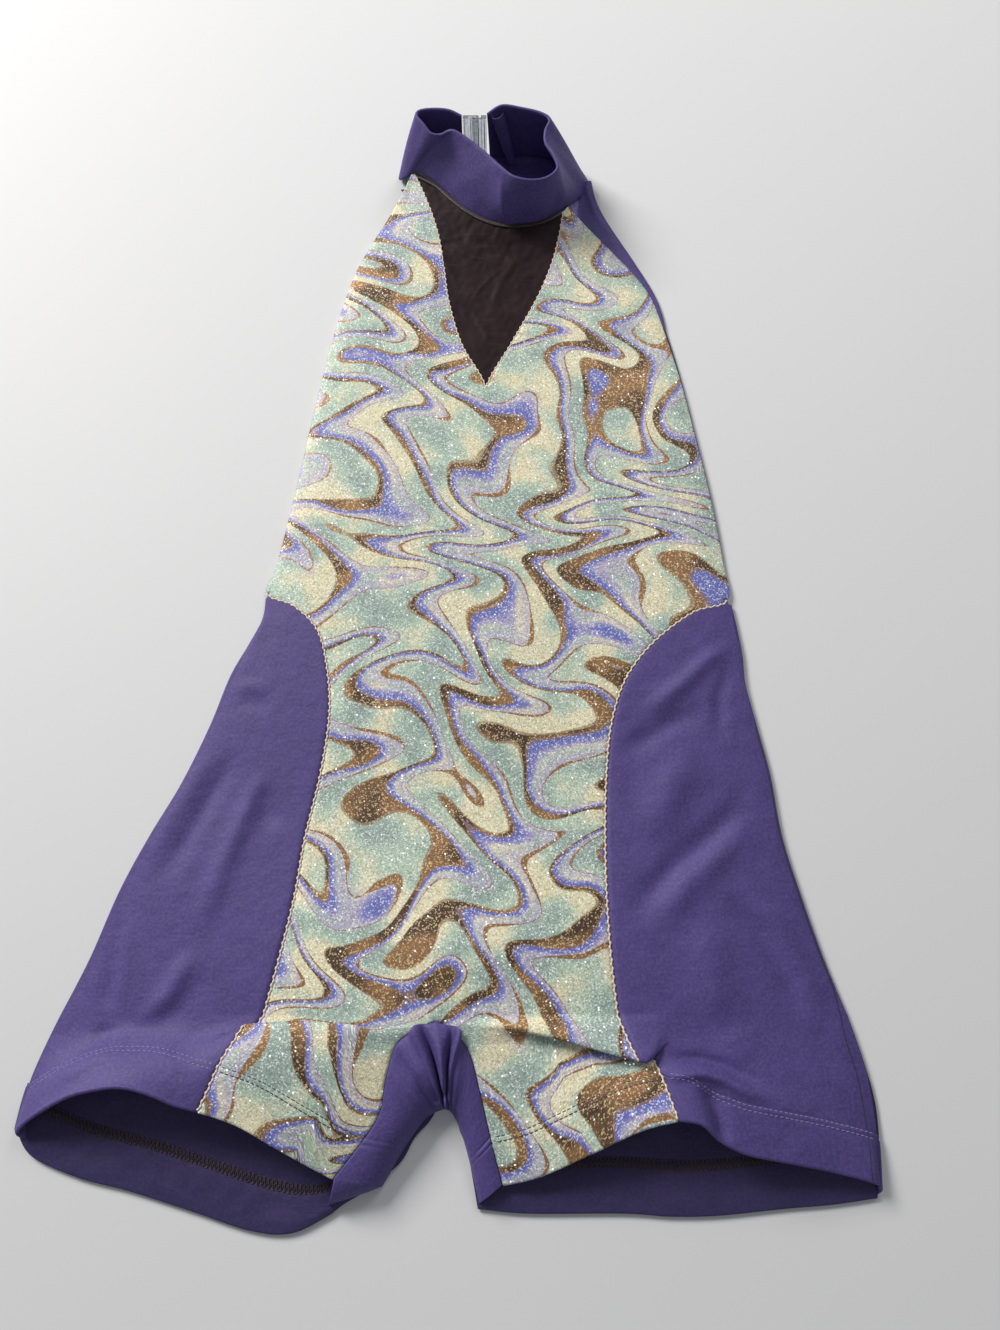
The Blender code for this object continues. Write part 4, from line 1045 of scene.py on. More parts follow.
class Board:
    """The nodes of one material."""

    def __init__(self, name: str) -> None:
        """Start a material with a Principled shader and its output.

        Args:
            name: Name of the material.
        """
        self.material = bpy.data.materials.new(name)
        self.material.use_nodes = True
        self.tree = self.material.node_tree
        self.tree.nodes.clear()
        self.shader = self.add("ShaderNodeBsdfPrincipled")
        self.add("ShaderNodeOutputMaterial", {}, {"Surface": self.shader.outputs["BSDF"]})

    def add(
        self, kind: str, settings: Optional[Mapping[str, Any]] = None, inputs: Optional[Inputs] = None,
    ) -> bpy.types.Node:
        """Add one node.

        Args:
            kind: The node's type.
            settings: Its own settings, set first.
            inputs: Values or links of its sockets, by name or number.

        Returns:
            The new node.
        """
        node = self.tree.nodes.new(kind)
        for key, value in (settings or {}).items():
            setattr(node, key, value)
        self.feed(node, inputs or {})
        return node

    def feed(self, node: bpy.types.Node, inputs: Inputs) -> None:
        """Set or link a node's inputs.

        Args:
            node: The node.
            inputs: Values or links of its sockets, by name or number.
        """
        for key, value in inputs.items():
            socket = node.inputs[key]
            if isinstance(value, Wire):
                self.tree.links.new(value.socket, socket)
            elif isinstance(value, Socket):
                self.tree.links.new(value, socket)
            elif socket.type == "RGBA" and len(value) == 3:
                socket.default_value = (*value, 1.0)
            else:
                socket.default_value = value

    def shade(self, **inputs: Any) -> Material:
        """Set the shader's sockets, with underscores for spaces, and return the material."""
        self.feed(self.shader, {key.replace("_", " "): value for key, value in inputs.items()})
        return self.material

    def math(self, operation: str, *values: Number) -> Wire:
        """Add one Math node."""
        node = self.add("ShaderNodeMath", {"operation": operation}, dict(enumerate(values)))
        return Wire(self, node.outputs[0])

    def mix(self, share: Number, first: Any, second: Any) -> Socket:
        """Mix two colours."""
        node = self.add("ShaderNodeMix", {"data_type": "RGBA"}, {0: share, 6: first, 7: second})
        return node.outputs[2]

    def vector(self, operation: str, first: Any, second: Any) -> Socket:
        """Add one Vector Math node of two vectors."""
        return self.add("ShaderNodeVectorMath", {"operation": operation}, {0: first, 1: second}).outputs[0]

    def scaled(self, vector: Any, factor: float) -> Socket:
        """A vector times a number."""
        node = self.add("ShaderNodeVectorMath", {"operation": "SCALE"}, {0: vector, "Scale": factor})
        return node.outputs[0]

    def moved(self, vector: Any, by: tuple[float, float, float]) -> Socket:
        """A vector moved by fixed amounts."""
        return self.vector("ADD", vector, by)

    def cloth(self) -> Socket:
        """Place on the flat cloth, in centimetres."""
        node = self.add("ShaderNodeAttribute", {"attribute_name": "cloth"})
        return self.scaled(node.outputs["Vector"], CM_IN_A_METRE)

    def place(self) -> Socket:
        """Place on the object, in centimetres."""
        return self.scaled(self.add("ShaderNodeTexCoord").outputs["Object"], CM_IN_A_METRE)

    def noise(self, vector: Any, scale: float, detail: float = 2.0, roughness: float = 0.5) -> Wire:
        """Value of a noise texture."""
        inputs = {"Vector": vector, "Scale": scale, "Detail": detail, "Roughness": roughness}
        return Wire(self, self.add("ShaderNodeTexNoise", {}, inputs).outputs[0])

    def split(self, vector: Any) -> tuple[Wire, Wire]:
        """The x and y of a vector."""
        node = self.add("ShaderNodeSeparateXYZ", {}, {0: vector})
        return Wire(self, node.outputs[0]), Wire(self, node.outputs[1])

    def cells(self, vector: Any, scale: float) -> tuple[Wire, Wire]:
        """Cells of a Voronoi texture.

        Args:
            vector: The vector.
            scale: Cells along one unit of it.

        Returns:
            Distance to the nearest cell's middle, and a random number for each cell.
        """
        node = self.add("ShaderNodeTexVoronoi", {}, {"Vector": vector, "Scale": scale})
        red = self.add("ShaderNodeSeparateColor", {}, {0: node.outputs["Color"]})
        return Wire(self, node.outputs["Distance"]), Wire(self, red.outputs[0])

    def bump(self, height: Number, strength: float, depth: float, under: Any = None) -> Socket:
        """Normal of a fine relief.

        Args:
            height: The relief.
            strength: How strongly it shows.
            depth: Its depth in millimetres.
            under: Normal of a relief that it lies on.

        Returns:
            The normal.
        """
        inputs = {"Strength": strength, "Distance": depth * MM, "Height": height}
        if under is not None:
            inputs["Normal"] = under
        return self.add("ShaderNodeBump", {}, inputs).outputs[0]


@dataclass(frozen=True)
class KnitFinish:
    """Matt-satin navy spandex knit."""

    name: str = "navy_spandex_knit"
    lit: Colour = (0.058, 0.041, 0.175)
    worn: Colour = (0.044, 0.031, 0.140)
    fluff: Colour = (0.098, 0.074, 0.235)
    ribs_per_cm: float = 22.0
    sheen: float = 0.10
    # Painted shade: a darker tone mixed in toward the hems, for the shade inside the leg openings.
    painted_shade: Colour = (0.012, 0.009, 0.030)
    painted_shade_share: float = 0.0
    painted_shade_from_cm: float = -22.5
    painted_shade_to_cm: float = -19.5

    def material(self) -> Material:
        """Build the material.

        Returns:
            The material.
        """
        board = Board(self.name)
        flat = board.cloth()
        mottle = board.noise(flat, 0.9, 4.0)
        fine = board.noise(flat, 26.0, 2.0)
        grain = board.noise(flat, 7.0, 2.0)
        colour = board.mix(mottle.step(0.3, 0.7), self.worn, self.lit)
        colour = board.mix(grain.step(0.38, 0.66) * 0.5, colour, self.fluff)
        colour = board.mix(fine.step(0.25, 0.8) * 0.45, colour, self.fluff)
        # Painted shade: the cloth darkens below the front's hem line, where the front layer shades the
        # inside of the legs.
        if self.painted_shade_share:
            _, up = board.split(board.place())
            painted_shade_mask = (1.0 - up.step(self.painted_shade_from_cm, self.painted_shade_to_cm)) * self.painted_shade_share
            colour = board.mix(painted_shade_mask, colour, self.painted_shade)
        across, along = board.split(flat)
        ribs = (across * (self.ribs_per_cm * math.tau)).wave() * 0.5
        loops = (along * (self.ribs_per_cm * 0.8 * math.tau)).wave() * 0.25
        weave = board.bump(ribs + loops + fine + grain * 1.5, 0.4, 0.10)
        soft = board.bump(board.noise(flat, 1.3, 3.0), 0.4, 1.3, weave)
        return board.shade(
            Base_Color=colour, Roughness=0.5 + mottle * 0.16, Normal=soft, Sheen_Weight=self.sheen,
            Sheen_Roughness=0.4, Sheen_Tint=(0.62, 0.56, 0.95, 1.0), Specular_IOR_Level=0.32,
        )


@dataclass(frozen=True)
class GlitterFinish:
    """Glittered print of marbled swirls in mint, cream and periwinkle with bronze foil lines."""

    name: str = "marbled_glitter_print"
    mint: Colour = (0.39, 0.51, 0.41)
    teal: Colour = (0.275, 0.37, 0.335)
    cream: Colour = (0.68, 0.63, 0.42)
    lavender: Colour = (0.43, 0.38, 0.53)
    periwinkle: Colour = (0.125, 0.145, 0.46)
    bronze: Colour = (0.27, 0.145, 0.062)
    umber: Colour = (0.065, 0.034, 0.018)
    gold: Colour = (0.95, 0.74, 0.44)
    silver: Colour = (0.93, 0.95, 0.90)
    # Colour of the painted glints on the brightest flakes.
    glint_white: Colour = (1.0, 1.0, 0.95)
    pit: Colour = (0.04, 0.035, 0.03)
    comb: float = 5.2
    swing: float = 1.75
    period: float = 4.2
    major_at: float = 0.34
    minor_at: float = 0.76
    lilac_at: float = 0.70
    grains_per_cm: float = 17.0
    flakes_per_cm: float = 5.5

    def streams(self, board: Board, flat: Any) -> tuple[Wire, Wire]:
        """Lay out the marbled streams, combed to and fro.

        Args:
            board: The material's board.
            flat: Place on the flat cloth.

        Returns:
            Level of the streams, which rises by 1 from each to the next, and a slow swell of their width.
        """
        shifted = board.moved(flat, (37.0, 11.0, 2.0))
        inputs = {"Vector": shifted, "Scale": 0.13, "Detail": 0.0}
        stir = board.add("ShaderNodeTexNoise", {}, inputs).outputs[1]
        centred = board.moved(stir, (-0.5, -0.5, -0.5))
        loose = board.vector("ADD", shifted, board.scaled(centred, 7.0))
        across, along = board.split(loose)
        slant = board.noise(board.moved(flat, (91.0, 3.0, 4.0)), 0.16, 0.0) * 9.0
        sway = (along * (math.tau / self.comb) + slant + across * 0.35).wave()
        reach = board.noise(board.moved(flat, (13.0, 53.0, 8.0)), 0.22, 0.0)
        bend = sway * (reach * 2.2 + 0.1) * self.swing
        curl = board.noise(board.moved(flat, (2.0, 29.0, 6.0)), 0.30, 0.0) * 3.2
        level = (across + bend + curl) * (1.0 / self.period)
        swell = board.noise(board.moved(flat, (5.0, 71.0, 9.0)), 0.24, 0.0).step(0.46, 0.74)
        return level, swell

    def ground(self, board: Board, flat: Any, band: Wire, width: Wire) -> Socket:
        """Colour between the foil lines: mint and cream, with periwinkle beside each broad line.

        Args:
            board: The material's board.
            flat: Place on the flat cloth.
            band: Place across one stream, from 0 to 1.
            width: Half the width of the broad line.

        Returns:
            The colour.
        """
        after = (band - self.major_at) - width
        halo = (1.0 - after.step(0.03, 0.27)) * after.step(-0.02, 0.02)
        lilac = 1.0 - abs(band - self.lilac_at).step(0.02, 0.14)
        pale = board.noise(flat, 0.34, 1.0)
        colour = board.mix(pale.step(0.36, 0.50), self.teal, self.mint)
        colour = board.mix(pale.step(0.46, 0.62), colour, self.cream)
        colour = board.mix(lilac * 0.7, colour, self.lavender)
        colour = board.mix(halo.step(0.0, 0.55), colour, self.lavender)
        return board.mix(halo.step(0.22, 0.95), colour, self.periwinkle)

    def material(self) -> Material:
        """Build the material.

        Returns:
            The material.
        """
        board = Board(self.name)
        flat = board.cloth()
        level, swell = self.streams(board, flat)
        band = level.fraction()
        major = abs(band - self.major_at)
        minor = abs(band - self.minor_at)
        width = 0.032 + swell * 0.185
        foil = 1.0 - major.step(width - 0.010, width + 0.010)
        edge = (1.0 - major.step(width + 0.020, width + 0.036)) - foil
        hair = board.noise(board.moved(flat, (61.0, 7.0, 3.0)), 0.35, 0.0).step(0.42, 0.66) * 0.034
        thin = 1.0 - minor.step(hair, hair + 0.014)
        metal = board.mix(board.noise(flat, 0.45, 1.0).step(0.40, 0.62), self.umber, self.bronze)
        colour = board.mix(edge.most(0.0) * 0.75, self.ground(board, flat, band, width), self.bronze)
        colour = board.mix(thin, colour, self.bronze)
        colour = board.mix(foil, colour, metal)
        metals = foil.most(thin).most(edge)
        _, grain = board.cells(flat, self.grains_per_cm)
        near, flake = board.cells(board.moved(flat, (3.0, 5.0, 1.0)), self.flakes_per_cm)
        speck = board.mix(metals, self.silver, self.gold)
        colour = board.mix(grain.step(0.42, 0.0) * 0.42, colour, self.pit)
        colour = board.mix(grain.step(0.70, 0.98) * 0.62, colour, speck)
        # Painted glints: a few glitter flakes get a white base colour and a white glow, standing in for
        # flashes of reflected light.
        painted_glint = flake.step(0.905, 0.915) * (1.0 - near.step(0.14, 0.30))
        return board.shade(
            Base_Color=board.mix(painted_glint, colour, self.glint_white), Roughness=0.50 - painted_glint * 0.3,
            Metallic=metals * 0.30, Normal=board.bump(grain, 0.45, 0.14), Specular_IOR_Level=0.45,
            Emission_Color=board.mix(painted_glint, (0.0, 0.0, 0.0), self.glint_white), Emission_Strength=0.55,
        )


@dataclass(frozen=True)
class SheerFinish:
    """Dark sheer power mesh."""

    name: str = "sheer_brown_mesh"
    thread: Colour = (0.014, 0.007, 0.009)
    pale: Colour = (0.028, 0.014, 0.016)
    streak: Colour = (0.060, 0.036, 0.036)
    hole: Colour = (0.010, 0.006, 0.008)
    holes_per_cm: float = 16.0

    def material(self) -> Material:
        """Build the material.

        Returns:
            The material.
        """
        board = Board(self.name)
        flat = board.cloth()
        streaks = board.noise(board.vector("MULTIPLY", flat, (0.5, 2.6, 1.0)), 0.8, 3.0, 0.6)
        colour = board.mix(board.noise(flat, 0.5, 2.0).step(0.35, 0.75) * 0.7, self.thread, self.pale)
        colour = board.mix(streaks.step(0.55, 0.75) * 0.35, colour, self.streak)
        near, _ = board.cells(flat, self.holes_per_cm)
        holes = near.step(0.12, 0.42)
        return board.shade(
            Base_Color=board.mix((1.0 - holes) * 0.7, colour, self.hole), Roughness=0.62,
            Alpha=0.93 + holes * 0.07, Normal=board.bump(near, 0.3, 0.1), Sheen_Weight=0.02,
            Specular_IOR_Level=0.10,
        )


@dataclass(frozen=True)
class ThreadFinish:
    """Sewing thread of one colour."""

    name: str
    colour: Colour
    roughness: float = 0.6

    def material(self) -> Material:
        """Build the material.

        Returns:
            The material.
        """
        board = Board(self.name)
        twist = board.noise(board.place(), 30.0, 2.0)
        dark = tuple(0.6 * value for value in self.colour)
        return board.shade(
            Base_Color=board.mix(twist.step(0.3, 0.7), dark, self.colour), Roughness=self.roughness,
            Normal=board.bump(twist, 0.4, 0.1), Sheen_Weight=0.1,
        )


@dataclass(frozen=True)
class ClearFinish:
    """Clear moulded plastic."""

    name: str = "clear_clasp_plastic"
    tone: Colour = (0.66, 0.70, 0.74)
    bright: Colour = (0.86, 0.89, 0.92)

    def material(self) -> Material:
        """Build the material.

        Returns:
            The material.
        """
        board = Board(self.name)
        cloud = board.noise(board.place(), 5.0, 2.0)
        return board.shade(
            Base_Color=board.mix(cloud.step(0.35, 0.65), self.tone, self.bright),
            Roughness=0.16 + cloud * 0.10, Transmission_Weight=0.85, IOR=1.49, Specular_IOR_Level=0.6,
        )


@dataclass(frozen=True)
class TableFinish:
    """Plain pale table top."""

    name: str = "pale_table"
    tone: Colour = (0.62, 0.63, 0.645)
    cloudy: Colour = (0.67, 0.67, 0.67)

    def material(self) -> Material:
        """Build the material.

        Returns:
            The material.
        """
        board = Board(self.name)
        cloud = board.noise(board.place(), 0.05, 3.0)
        return board.shade(Base_Color=board.mix(cloud * 0.3, self.tone, self.cloudy), Roughness=0.7)


def thread(name: str, *colour: float) -> Material:
    """Field of the wardrobe that holds a thread's finish."""
    return field(default_factory=ThreadFinish(name, colour).material)


@dataclass
class Wardrobe:
    """Every finish, built once."""

    navy: Material = field(default_factory=KnitFinish().material)
    # Navy knit with painted shade toward the hems, for the back cloth inside the legs.
    inside: Material = field(
        default_factory=KnitFinish("navy_knit_painted_shade", sheen=0.04, painted_shade_share=0.6).material
    )
    glitter: Material = field(default_factory=GlitterFinish().material)
    sheer: Material = field(default_factory=SheerFinish().material)
    clear: Material = field(default_factory=ClearFinish().material)
    cream: Material = thread("cream_seam_edge", 0.80, 0.66, 0.52)
    slate: Material = thread("slate_thread", 0.060, 0.062, 0.085)
    indigo: Material = thread("indigo_thread", 0.215, 0.190, 0.375)
    brown: Material = thread("brown_coverstitch", 0.060, 0.032, 0.026)
    shade: Material = thread("deep_indigo_thread", 0.022, 0.016, 0.060)
    russet: Material = thread("russet_mesh_edge", 0.034, 0.018, 0.018)


def dress(piece: Piece, finish: Material, slot: Cloth, *nodes: str) -> None:
    """Give a piece its finish and its body, and hide the CAD nodes that it replaces.

    Args:
        piece: The piece.
        finish: Its material.
        slot: Not used.
        nodes: CAD nodes that it replaces.
    """
    piece.data.materials.append(finish)
    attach(piece, "root")
    if nodes:
        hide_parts(*nodes)
    area = sum(face.area for face in piece.data.polygons)
    LOG.info("%s: %d faces, %.4f m2", piece.name, len(piece.data.polygons), area)


@dataclass
class FrontPanels:
    """The print panel and the two side panels as cloth, with their seam edges."""

    front: Front
    wardrobe: Wardrobe
    rim_radius: float = 0.52
    neck_rim_radius: float = 0.46
    rim_pitch: float = 1.9
    rim_step: float = 0.42
    rim_sway: float = 0.25
    rim_rise: float = 0.12
    taper_rows: float = 8.0
    least_roll: float = 0.02
    side_roll_steps: int = 9
    lag_reach: float = 9.0

    def build(self) -> None:
        """Make and dress the three panels and the seam edges."""
        front = self.front
        corner = SEAM_CORNER_ROW * front.steps
        gap, dip = front.seam_gap, front.seam_dip
        taper = front.roll * eased((corner - np.arange(corner + 1)) / self.taper_rows) + self.least_roll
        left_leg = front.left_leg_print.drawn_in(gap, gap, dip)
        right_leg = front.right_leg_print.drawn_in(gap, gap, dip).flipped()
        left = front.left.rows(corner).drawn_in(gap, 0.0, dip).over(left_leg)
        right = front.right.rows(corner).drawn_in(0.0, gap, dip).over(right_leg)
        patches = [
            front.left.rows(0, corner + 1).flipped().rolled(taper),
            front.right.rows(0, corner + 1).rolled(taper), left.hemmed(front.hem_depth, front.hem_radius),
            right.hemmed(front.hem_depth, front.hem_radius),
        ]
        panel = MeshMaker.from_patches("front_print_cloth", patches, PANEL_WELD)
        wall(panel, front.cloth_wall)
        dress(panel, self.wardrobe.glitter, Cloth.PRINT, "front_print_panel")
        self.side("left", front.left_panel, (0.150, 0.272), 0.0216, 9.0, 1.0)
        self.side("right", front.right_panel, (0.132, 0.285), 0.0268, 6.0, 0.2)
        self.edges()

    def side(
        self, name: str, whole: Patch, flat: tuple[float, float], area: float, lag: float, tuck: float
    ) -> None:
        """Make one side panel.

        Args:
            name: Left or right.
            whole: Its cloth from the waist to the hem, outer edge first.
            flat: Not used.
            area: Not used.
            lag: How far the under side of its outer edge runs on past the hem.
            tuck: How much that run turns inward.
        """
        front = self.front
        up = whole.up_from_hem()[:, 0]
        radius = front.roll + front.corner_rise * bell(up, front.corner_reach)
        patch = whole.drawn_in(0.0, front.seam_gap, front.seam_dip).flipped()
        patch = patch.rolled(radius, self.side_roll_steps, lag=lag * bell(up, self.lag_reach), tuck=tuck)
        patch = patch.hemmed(front.hem_depth, front.hem_radius)
        panel = MeshMaker.from_patches(f"side_cloth_{name}", [patch], PANEL_WELD)
        wall(panel, front.cloth_wall)
        dress(panel, self.wardrobe.navy, Cloth.NAVY, f"side_panel_{name}")

    def seam_lines(self) -> list[tuple[Array, float]]:
        """Lines of the print's outer seams and of the V's edges.

        Returns:
            Each line's points and the radius of its edge.
        """
        front = self.front
        corner = SEAM_CORNER_ROW * front.steps
        tip = V_TIP_ROW * front.steps
        left = np.concatenate([front.left.points[corner:, 0], front.left_leg_print.points[1:, 0]])
        right = np.concatenate([front.right.points[corner:, -1], front.right_leg_print.points[1:, 0]])
        return [
            (left, self.rim_radius), (right, self.rim_radius),
            (front.left.points[: tip + 1, -1], self.neck_rim_radius),
            (front.right.points[: tip + 1, 0], self.neck_rim_radius),
        ]

    def edges(self) -> None:
        """Make the pale rolled seam edges, beaded by their stitches."""
        parts = []
        for line, size in self.seam_lines():
            fine = even_line(line, self.rim_step)
            beat = np.sin(math.pi * arc_lengths(fine) / self.rim_pitch)
            bead = size * (0.45 + 0.75 * np.abs(beat))
            run = unit(np.gradient(fine[:, :2], axis=0))
            fine[:, 0] += self.rim_sway * run[:, 1] * beat
            fine[:, 1] -= self.rim_sway * run[:, 0] * beat
            fine[:, 2] += self.rim_rise
            parts.append(MeshMaker.tube(fine, bead, 6, 0.8))
        rim = MeshMaker.joined("seam_edge", parts)
        dress(rim, self.wardrobe.cream, Cloth.PRINT)


MESH_CREASES = tuple(Crease(*row) for row in (
    (((-28, 246), (-20, 222), (-14, 200)), 1.4, 0.7, 0.4),
    (((-12, 219), (6, 208), (26, 203)), 0.7, 0.35, 0.4),
    (((-10, 208), (8, 201), (30, 186)), 0.6, 0.35, 0.4), (((30, 206), (14, 190), (2, 172)), 0.7, 0.35, 0.4),
    (((-24, 244), (-14, 214), (2, 186)), 2.4, 0.9, 0.4),
    (((-14, 226), (6, 210), (24, 196)), 1.5, 0.55, 0.4), (((-8, 196), (10, 190), (28, 178)), 1.3, 0.5, 0.4),
    (((36, 214), (24, 190), (16, 164)), 2.6, 0.8, 0.4),
    (((-20, 226), (-10, 220), (4, 222)), 1.2, 0.45, 0.4), (((6, 176), (14, 160), (20, 146)), 1.8, 0.6, 0.4),
))


@dataclass
class NeckMesh:
    """The V of sheer mesh under the collar."""

    form: FrontForm
    wardrobe: Wardrobe
    columns: int = 110
    steps: int = 18
    rim_first: float = 7.15
    rim_last: float = 15.85
    clearance: float = 1.2
    rim_fade: float = 3.0
    tip: float = 6.9
    side_gap: float = 0.25
    thickness: float = 0.35
    binding_out: float = 0.9
    binding_radius: float = 1.25

    def foot(self, station: float) -> Array:
        """Plan point just outside the collar's bottom edge.

        Args:
            station: A fractional rib of the collar.

        Returns:
            The point.
        """
        here, before, after = spline(COLLAR_RIBS, [station, station - 0.2, station + 0.2])[:, :2]
        run = unit(after - before)
        return here + np.array([run[1], -run[0]]) * self.clearance

    def build(self) -> None:
        """Make and dress the mesh."""
        rows = np.arange(0.0, self.tip + 1e-6, 1.0 / self.steps)
        edges = spline(PRINT_SECTIONS, rows)
        over = np.linspace(0.0, 1.0, self.columns + 1)[:, None]
        first, last = self.foot(self.rim_first), self.foot(self.rim_last)
        stations = self.rim_first + (self.rim_last - self.rim_first) * over[:, 0]
        rim = np.stack([self.foot(float(station)) for station in stations])
        bow = rim - (first * (1.0 - over) + last * over)
        lines = []
        for number, position in enumerate(rows):
            start, end = edges[number, 2:4], edges[number, 4:6]
            inward = unit(end - start) * self.side_gap
            line = (start + inward) * (1.0 - over) + (end - inward) * over
            lines.append(line + bow * max(1.0 - position / self.rim_fade, 0.0))
        plan = np.stack(lines)
        points = self.form.laid(plan)
        points[..., 2] += -0.45 + 0.45 * ripple(plan, 17.0, 2.0) + 0.25 * ripple(plan, 7.0, 5.0)
        for crease in MESH_CREASES:
            points[..., 2] += crease.lift(plan)
        mesh = MeshMaker.from_patches("neck_mesh_cloth", [Patch(points, plan)])
        wall(mesh, self.thickness)
        dress(mesh, self.wardrobe.sheer, Cloth.SHEER, "neck_mesh_inset")
        self.binding()

    def binding(self) -> None:
        """Make the turned edge of the mesh that shows under the collar."""
        stations = np.linspace(self.rim_first + 0.15, self.rim_last - 0.1, 90)
        plan = np.stack([self.foot(float(station)) for station in stations])
        run = unit(np.gradient(plan, axis=0))
        plan = plan + np.stack([run[:, 1], -run[:, 0]], axis=1) * self.binding_out
        path = self.form.laid(plan) + np.array([0.0, 0.0, -0.15])
        band = MeshMaker.joined("neck_mesh_binding", [MeshMaker.tube(path, self.binding_radius, 10, 0.32)])
        dress(band, self.wardrobe.russet, Cloth.SHEER)


@dataclass
class CrotchStrip:
    """The strip round the crotch, gathered at its middle."""

    front: Front
    wardrobe: Wardrobe
    columns: int = 30
    gathers: tuple[tuple[float, float, float], ...] = (
        (2.50, 0.9, 0.20), (2.95, -0.9, 0.12), (3.35, 2.6, 0.30), (3.62, 1.6, 0.12), (3.82, -6.0, 0.06),
        (4.02, 4.6, 0.11), (4.20, -5.6, 0.055), (4.36, 1.8, 0.09), (4.75, 1.0, 0.22),
    )
    lobes: tuple[tuple[float, float, float, float], ...] = (
        (3.10, -1.8, 1.2, 0.30), (3.66, -5.0, 3.6, 0.26), (4.34, 5.2, 3.8, 0.24),
    )
    tucks: tuple[tuple[float, float, float, float, float], ...] = (
        (4.02, 0.17, 0.60, 0.07, -3.4), (3.72, 0.10, 0.72, 0.08, -2.2), (3.90, 0.20, 0.80, 0.09, 2.6),
        (3.36, 0.26, 0.62, 0.10, -2.6), (3.10, 0.45, 0.32, 0.12, 1.2), (4.30, 0.10, 0.85, 0.08, -1.6),
    )
    turn: float = 0.08
    lip: tuple[float, float, float] = (-51.6, -289.9, 1.3)
    lip_rows: int = 10
    lip_length: float = 12.0
    rows: int = 441
    floor_z: float = 0.9
    seam_gap: float = 0.3
    lobe_rise: float = 0.34
    thickness: float = 0.6

    def build(self) -> None:
        """Make and dress the strip."""
        patch = self.with_lip(self.surface())
        strip = MeshMaker.from_patches("crotch_strip_cloth", [patch])
        wall(strip, self.thickness)
        dress(strip, self.wardrobe.navy, Cloth.NAVY, "crotch_gusset")

    def seam(self, stations: Array) -> Array:
        """Seam of the print's inner edges, from the left hem round the crotch to the right hem.

        Args:
            stations: Fractional rows of the strip's table.

        Returns:
            One point for each station.
        """
        left = self.front.left_leg_print.points[:, -1][::-1]
        right = self.front.right_leg_print.points[:, -1]
        middle = (len(STRIP_SECTIONS) - 1) / 2.0
        left_share = arc_lengths(left) / arc_lengths(left)[-1]
        right_share = arc_lengths(right) / arc_lengths(right)[-1]
        line = np.concatenate([left, right[1:]])
        at = np.concatenate([left_share * middle, middle + right_share[1:] * middle])
        return np.stack([np.interp(stations, at, column) for column in line.T], axis=1)

    def surface(self) -> Patch:
        """The strip from its seam down to the table, with its gathers, lobes and tucks.

        Returns:
            The strip as a patch.
        """
        stations = np.linspace(0.0, len(STRIP_SECTIONS) - 1, self.rows)
        seam = self.seam(stations)
        values = spline(STRIP_SECTIONS, stations)
        floor = np.concatenate([values[:, :2], np.full((len(stations), 1), self.floor_z)], axis=1)
        seam = seam + unit(floor - seam) * self.seam_gap
        gather = np.zeros(len(stations))
        for place, height, width in self.gathers:
            gather += height * bell(stations - place, width)
        over = np.linspace(0.0, 1.0, self.columns + 1)
        drop, reach, swell = np.cos(over * math.pi / 2), np.sin(over * math.pi / 2), np.sin(over * math.pi)
        plan = seam[:, None, :2] + (floor - seam)[:, None, :2] * reach[None, :, None]
        rise = floor[:, None, 2] + (seam[:, 2] - floor[:, 2])[:, None] * drop[None, :]
        rise = rise + (values[:, 2] + gather)[:, None] * swell[None, :]
        over_print = np.zeros((len(stations), 2))
        for place, sideways, onward, width in self.lobes:
            over_print += np.array([sideways, onward]) * bell(stations - place, width)[:, None]
        swelling = over / self.turn * np.exp(1.0 - over / self.turn)
        plan = plan + over_print[:, None] * swelling[None, :, None]
        rise = rise + self.lobe_rise * np.linalg.norm(over_print, axis=-1)[:, None] * swelling[None, :]
        for place, width, down, depth, height in self.tucks:
            spot = bell(stations - place, width)[:, None] * bell(over - down, depth)[None, :]
            rise = rise + height * spot
        points = np.concatenate([plan, rise[..., None]], axis=-1)
        across = np.cumsum(np.linalg.norm(np.diff(points, axis=1), axis=-1), axis=1)
        across = np.concatenate([np.zeros((len(stations), 1)), across], axis=1)
        along = np.broadcast_to(arc_lengths(seam)[:, None], across.shape)
        return Patch(points, np.stack([across, along], axis=-1))

    def with_lip(self, patch: Patch) -> Patch:
        """The strip with its left end carried on down to the back hem.

        Args:
            patch: The strip.

        Returns:
            The longer strip.
        """
        edge, cloth = patch.points[0], patch.cloth[0]
        share = np.linspace(0.0, 1.0, len(edge))[:, None]
        target = np.asarray(self.lip) * (1.0 - share) + edge[-1] * share
        rows, cloths = [], []
        for number in range(self.lip_rows, 0, -1):
            part = number / self.lip_rows
            bow = math.sin(math.pi * part) * (1.0 - share[:, 0])
            row = edge * (1.0 - part) + target * part
            row[:, 1] -= 1.6 * bow
            row[:, 2] += 1.2 * bow
            rows.append(row)
            cloths.append(cloth - np.array([0.0, self.lip_length * part]))
        points = np.concatenate([np.stack(rows), patch.points])
        return Patch(points, np.concatenate([np.stack(cloths), patch.cloth]))


